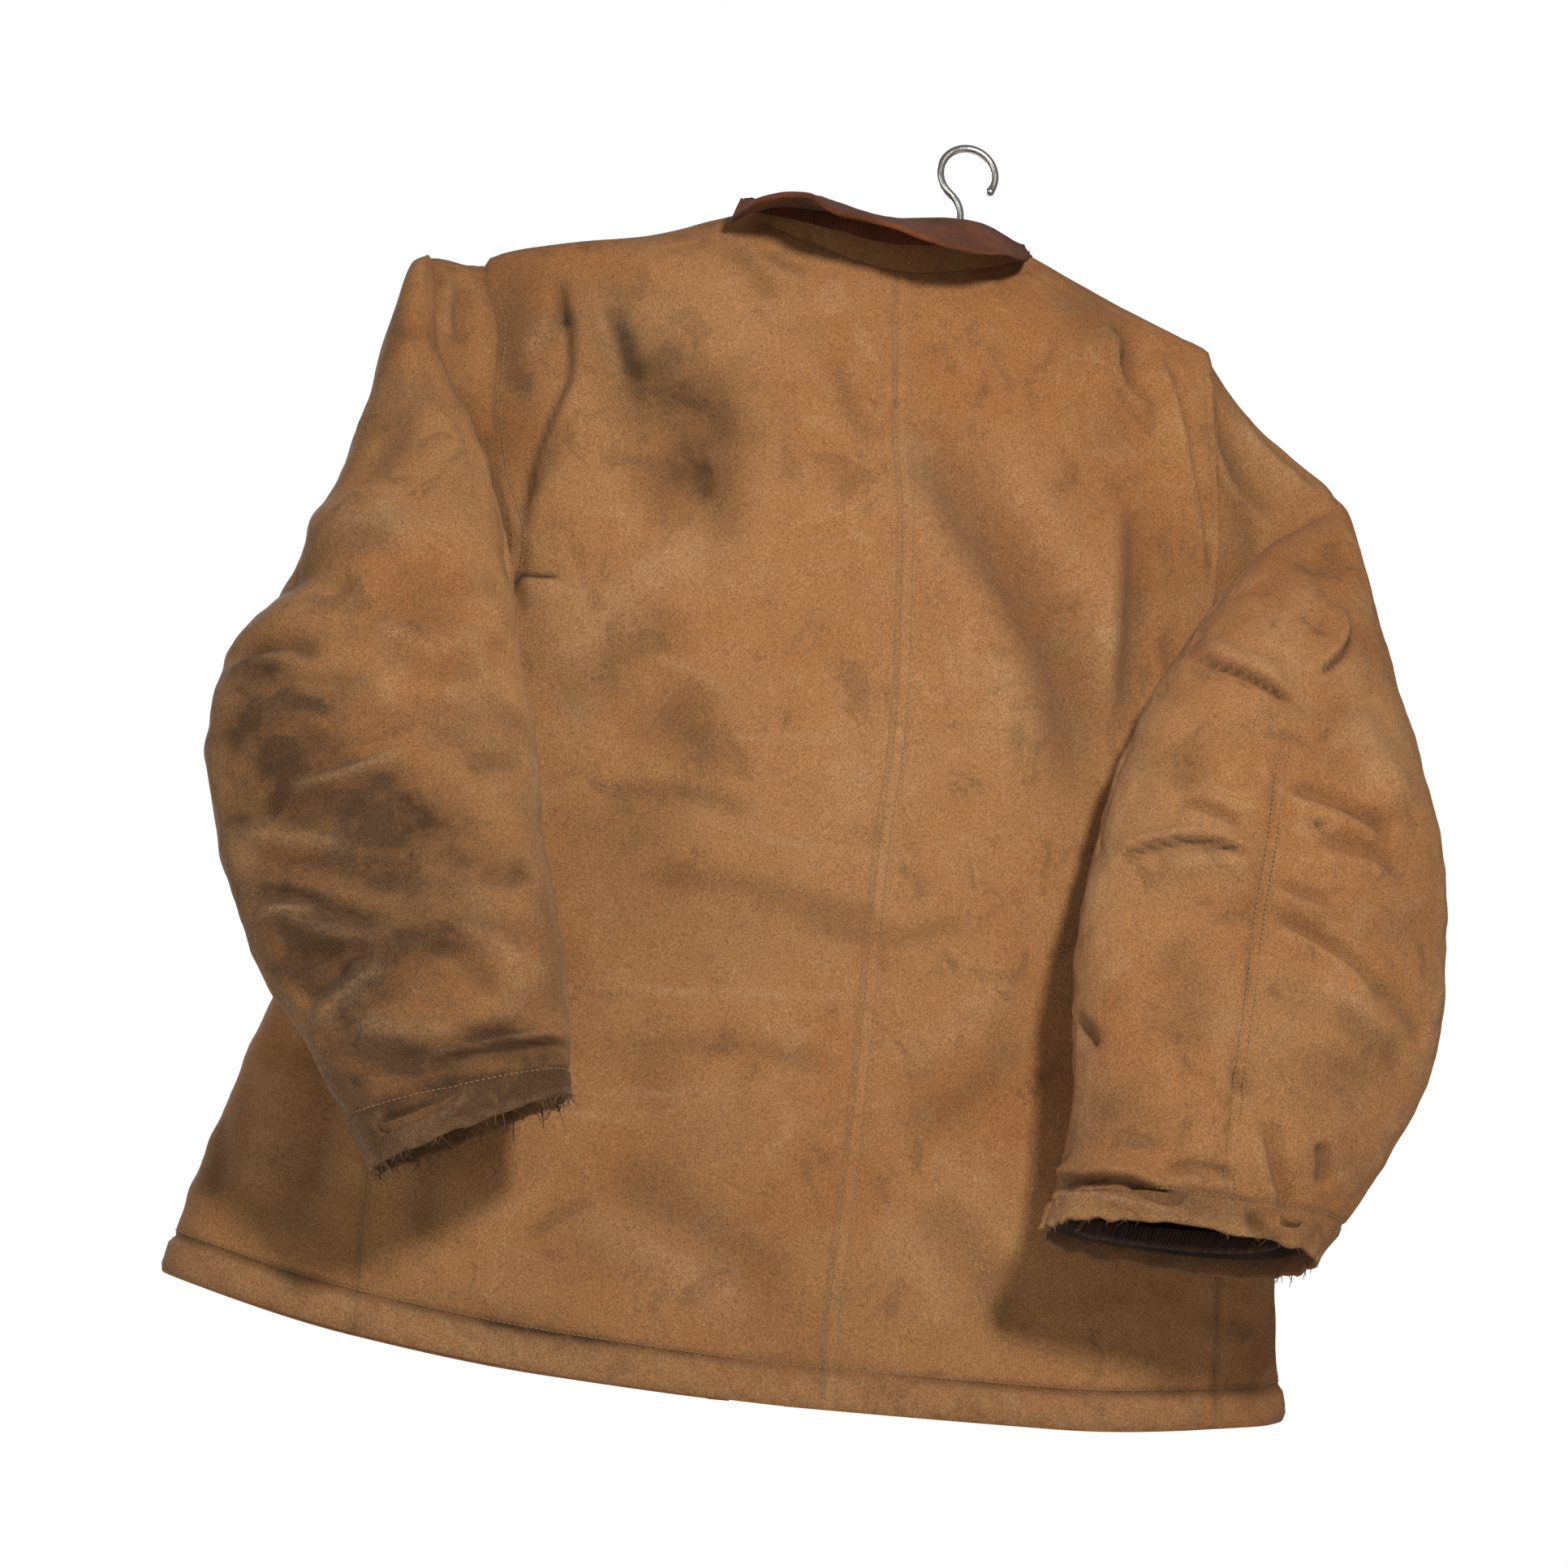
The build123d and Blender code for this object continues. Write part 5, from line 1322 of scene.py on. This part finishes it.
LEAF_ACROSS, LEAF_ROWS = 110, 34
LEAF_EDGE = rounded([(112, 40, 36), (118, 52, 18), (111, 70, 19), (105, 85, 20), (93, 98, 20),
                     (76, 105, 19), (65, 110, 12), (56, 111, 9), (33, 112, 6.5), (14, 112, 4.5),
                     (-5, 112, 1.5), (-25, 109, 0), (-45, 103, 2), (-66, 91, 8), (-84, 70, 16),
                     (-93, 54, 24), (-97, 36, 34)], LEAF_ACROSS)


def leaf_surface():
    """The leaf's upper side, its rim and its under side, as one grid."""
    x = np.linspace(98, -92, LEAF_ACROSS)
    fold = np.stack([x, 3 + 48.5 * np.sqrt(1 - (x / 109.0) ** 2) + 1.5, stand_top(x)], 1)
    rows = []
    for t in np.linspace(0, 1, LEAF_ROWS):
        line = fold * (1 - t) + LEAF_EDGE * t
        line[:, 2] += 4.0 * math.sin(math.pi * min(t * 1.15, 1)) * (1 - t) + 1.6
        rows.append(line)
    top = np.array(rows)
    u = np.tile(np.linspace(0, 220, LEAF_ACROSS), (LEAF_ROWS, 1))
    v = np.tile(np.linspace(0, 62, LEAF_ROWS)[:, None], (1, LEAF_ACROSS))
    ripple = 1.5 * noise(u, v, 34, 60, 120) + 0.9 * noise(u, v, 16, 20, 121) \
        + 0.5 * noise(u, v, 8, 8, 122)
    top[..., 2] += ripple * smooth(v / 20)
    top[..., 2] -= 0.9 * np.exp(-((v - 54) / 1.3) ** 2)
    under = top[::-1].copy()
    under[..., 2] -= 4.4 - 1.2 * smooth(1 - v / 10)[::-1]
    rim = (top[-1] + under[0]) / 2 + np.array([0, 1.6, -0.2])
    return np.concatenate([top, [rim], under])


leaf = cloth("collar_leaf_corduroy", leaf_surface(), CORDUROY, flip=True)
lower_part_canvas(leaf, LEAF_ACROSS, 40, above=False)
# painted shade: the leaf's canvas under side is darkened fully
for key, value in (("dirt_and_shade", 1.0), ("wear", 0.15)):
    values = np.full(len(leaf.data.vertices), value, np.float32)
    leaf.data.attributes.new(key, "FLOAT", "POINT").data.foreach_set("value", values)

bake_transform(leaf)
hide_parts("collar_back_leaf")

# ------------------------------------------------------------------ pieces on the front
front_block = np.concatenate([torso[:, :C1 + 1].reshape(-1, 3), torso[:, C3:].reshape(-1, 3)])


def front_y(x, z):
    """The drawn front of the coat at a grid of points, from the nearest points on it."""
    y = np.empty(x.shape)
    for row in range(x.shape[0]):
        near = (front_block[:, 2] > z[row].min() - 14) & (front_block[:, 2] < z[row].max() + 14)
        some = front_block[near]
        d = (x[row][:, None] - some[None, :, 0]) ** 2 + (z[row][:, None] - some[None, :, 2]) ** 2
        k = np.argpartition(d, 4, axis=1)[:, :4]
        weight = 1 / (np.take_along_axis(d, k, 1) + 1.0)
        y[row] = (some[k, 1] * weight).sum(1) / weight.sum(1)
    return y


def patch(name, inner, outer, material, count, lift_off, puff, fields=(0.2, 0.2), seed=1, roll=3.0,
          flip=False):
    """A stitched-on piece of cloth lying over the front of the coat, between two lines in XZ."""
    wide, deep = count
    a, b = along(inner, wide), along(outer, wide)
    t = np.linspace(0, 1, deep)[:, None]
    x, z = a[:, 0] * (1 - t) + b[:, 0] * t, a[:, 1] * (1 - t) + b[:, 1] * t
    s = np.tile(np.linspace(0, 1, wide), (deep, 1))
    t = np.tile(t, (1, wide))
    size = np.linalg.norm(a[-1] - a[0]), np.linalg.norm(b[wide // 2] - a[wide // 2])
    rim = np.minimum(np.minimum(s, 1 - s) * size[0], np.minimum(t, 1 - t) * size[1])
    body = smooth(rim / roll)
    y = front_y(x, z) - 0.3 - lift_off * body - puff * smooth(rim / 26.0)
    y -= 0.9 * noise(x, z, 18, 18, seed) * body + 0.4 * noise(x, z, 8, 8, seed + 1) * body
    y += 0.7 * np.exp(-((rim - 5.0) / 1.0) ** 2) + 0.5 * np.exp(-((rim - 11.0) / 1.0) ** 2)
    p = np.stack([x, y, z], 2)
    dirt_and_shade = fields[0] + 0.3 * np.exp(-((rim - 5.0) / 1.2) ** 2) + 0.15 * noise(x, z, 30, 30, seed + 2)
    wear = fields[1] + 0.5 * np.exp(-(rim / 2.0) ** 2)
    obj = cloth(name, p, material, {"dirt_and_shade": np.clip(dirt_and_shade, 0, 1), "wear": np.clip(wear, 0, 1)},
                flip=flip)
    return obj, p


def outline_stitches(name, p, body, inset=2):
    """Stitches round a patch, near its edge."""
    up = grid_normals(p)
    if up[..., 1].mean() > 0:
        up = -up
    k = slice(inset, -inset)
    loop = [(p[inset, k], up[inset, k]), (p[k, -inset], up[k, -inset]),
            (p[-inset, k], up[-inset, k]), (p[k, inset], up[k, inset])]
    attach(stitches(name, [(line + normal * 0.35, normal) for line, normal in loop]), body)


def stands_for(obj, body, node):
    """A piece that moves with one body and is drawn in place of one CAD node."""
    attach(obj, body)
    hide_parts(node)


def mirrored(side, points):
    return [(side * x, z) for x, z in points]


def hand_pocket(side, name, inner):
    top = mirrored(side, [(inner, -515), (inner + 104, -515), (inner + 140, -560)])
    low = mirrored(side, [(inner, -725), (inner + 140, -722)])
    pocket, p = patch(f"{name}_hand_pocket_canvas", top, low, CANVAS, (46, 66), 1.6, 2.2,
                      (0.34, 0.22), 130 + side, flip=side < 0)
    stands_for(pocket, f"{name}_front", f"{name}_hand_pocket")
    outline_stitches(f"{name}_hand_pocket_stitches", p, f"{name}_front")
    return pocket


def chest_pocket(side, name):
    top, low = mirrored(side, [(137, -153), (227, -153)]), mirrored(side, [(137, -282), (227, -282)])
    chest, p = patch(f"{name}_chest_pocket_canvas", top, low, CANVAS, (32, 44), 1.6, 1.6,
                     (0.24, 0.20), 140 + side, flip=side < 0)
    stands_for(chest, "coat", f"{name}_chest_pocket")
    outline_stitches(f"{name}_chest_pocket_stitches", p, "coat")
    return chest


def chest_flap(side, name):
    top = mirrored(side, [(135, -146), (229, -146)])
    low = mirrored(side, [(135, -182), (182, -194), (229, -182)])
    flap, p = patch(f"{name}_chest_flap_canvas", top, low, CANVAS, (34, 18), 4.6, 0.6,
                    (0.20, 0.34), 150 + side, 1.6, flip=side < 0)
    stands_for(flap, f"{name}_chest_flap", f"{name}_chest_flap")
    outline_stitches(f"{name}_chest_flap_stitches", p, f"{name}_chest_flap")
    return flap


def zip_weave(name):
    """A zip's tape, laid inside the box of the CAD tape."""
    low, high = (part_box(f"{name}_zip_tape")[k] for k in (0, 1))
    x, z = np.meshgrid(np.linspace(low[0], high[0], 8), np.linspace(high[2], low[2], 120))
    tape = np.stack([x, np.full(x.shape, (low[1] + high[1]) / 2), z], 2) * 1000 - ROW
    weave = cloth(f"{name}_zip_weave", tape, TAPE)
    stands_for(weave, f"{name}_front", f"{name}_zip_tape")
    return weave


def collar_wing(side, name, front_edge):
    scoop = mirrored(side, [(106, 41), (99, 28), (88, 5), (74, -25), (56, -58),
                            (front_edge + 8, -72)])
    tip = mirrored(side, [(118, 32), (134, 14), (146, -20), (134, -70), (112, -112),
                          (front_edge + 14, -92)])
    wing, p = patch(f"{name}_collar_wing", rounded(scoop), rounded(tip), CORDUROY, (70, 24), 4.0, 1.8,
                    (0.2, 0.2), 160 + side, 4.0, flip=side > 0)
    stands_for(wing, "coat", f"collar_{name}_wing")


for side, name, front_edge in ((1, "left", LEFT_EDGE), (-1, "right", -RIGHT_EDGE)):
    pocket = hand_pocket(side, name, front_edge + 20)
    chest = chest_pocket(side, name)
    flap = chest_flap(side, name)
    weave = zip_weave(name)
    collar_wing(side, name, front_edge)

# the hanging loop inside the back neck
t = np.linspace(-1, 1, 40)
strip = []
for rise in np.linspace(4.6, -4.6, 7):
    strip.append(np.stack([35 * t, 40.2 + 5.6 * t * t, 19 + rise - 1.5 * (1 - t * t)], 1))
loop = cloth("hang_loop_tape", np.array(strip), LOOP_TAPE)
stands_for(loop, "coat", "hang_loop")

# ------------------------------------------------------------------ hardware kept from the CAD
HARDWARE = {"hanger_hook": CHROME, "hanger_bar": PLASTIC, "hanger_bush": PLASTIC}
for key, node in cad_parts.items():
    node.data.materials.clear()
    node.data.materials.append(HARDWARE.get(key, BRASS))
    for poly in node.data.polygons:
        poly.material_index = 0

# ------------------------------------------------------------------ camera, light, floor
scene = bpy.context.scene
TARGET = Vector((0.100, 0.050, -0.470))
AZ, EL, ROLL = math.radians(171.0), math.radians(-12.0), math.radians(5.2)
back_way = Vector((math.sin(AZ) * math.cos(EL), -math.cos(AZ) * math.cos(EL), math.sin(EL)))
right_way = (-back_way).cross(Vector((0, 0, 1))).normalized()
up_way = right_way.cross(-back_way)
turned_x = right_way * math.cos(ROLL) + up_way * math.sin(ROLL)
turned_y = -right_way * math.sin(ROLL) + up_way * math.cos(ROLL)
camera_data = bpy.data.cameras.new("camera")
camera_data.lens = 67.0
camera_data.sensor_width = 36.0
camera_data.clip_start, camera_data.clip_end = 0.05, 20.0
camera = bpy.data.objects.new("camera", camera_data)
scene.collection.objects.link(camera)
rotation = Matrix((turned_x, turned_y, back_way)).transposed().to_4x4()
camera.matrix_world = Matrix.Translation((0.401, 1.9322, -0.8971)) @ rotation
scene.camera = camera


def area_light(name, place, size, power, colour):
    data = bpy.data.lights.new(name, "AREA")
    data.shape = "DISK"
    data.size = size
    data.energy = power
    data.color = colour
    lamp = bpy.data.objects.new(name, data)
    scene.collection.objects.link(lamp)
    lamp.location = place
    lamp.rotation_euler = (TARGET - Vector(place)).to_track_quat("-Z", "Y").to_euler()


area_light("key", TARGET + Vector((-0.16, 1.05, 0.36)) * 1.35, 0.20, 19, (1.0, 0.95, 0.88))
area_light("fill", TARGET + Vector((1.4, 1.6, 0.2)), 1.8, 7, (0.95, 0.97, 1.0))
area_light("front", TARGET + Vector((0.9, -1.9, 0.9)), 1.6, 45, (1.0, 0.97, 0.94))
world = bpy.data.worlds.new("studio")
scene.world = world
world.use_nodes = True
tree = world.node_tree
tree.nodes.clear()
seen, dim = tree.nodes.new("ShaderNodeBackground"), tree.nodes.new("ShaderNodeBackground")
seen.inputs[0].default_value = (1, 1, 1, 1)
dim.inputs[0].default_value = (1.0, 0.965, 0.93, 1)
dim.inputs[1].default_value = 0.165
paths, mixer = tree.nodes.new("ShaderNodeLightPath"), tree.nodes.new("ShaderNodeMixShader")
end = tree.nodes.new("ShaderNodeOutputWorld")
tree.links.new(paths.outputs["Is Camera Ray"], mixer.inputs[0])
tree.links.new(dim.outputs[0], mixer.inputs[1])
tree.links.new(seen.outputs[0], mixer.inputs[2])
tree.links.new(mixer.outputs[0], end.inputs[0])
scene.view_settings.view_transform = "Standard"
scene.view_settings.look = "None"

floor_mesh = bpy.data.meshes.new("floor")
ring = [(3 * math.cos(a), 3 * math.sin(a), -1.25) for a in np.linspace(0, 2 * math.pi, 65)[:-1]]
floor_mesh.from_pydata(ring, [], [tuple(range(64))])
floor = bpy.data.objects.new("floor", floor_mesh)
scene.collection.objects.link(floor)
floor_mesh.materials.append(Surface("floor", (0.90, 0.90, 0.90), 0.9).material)
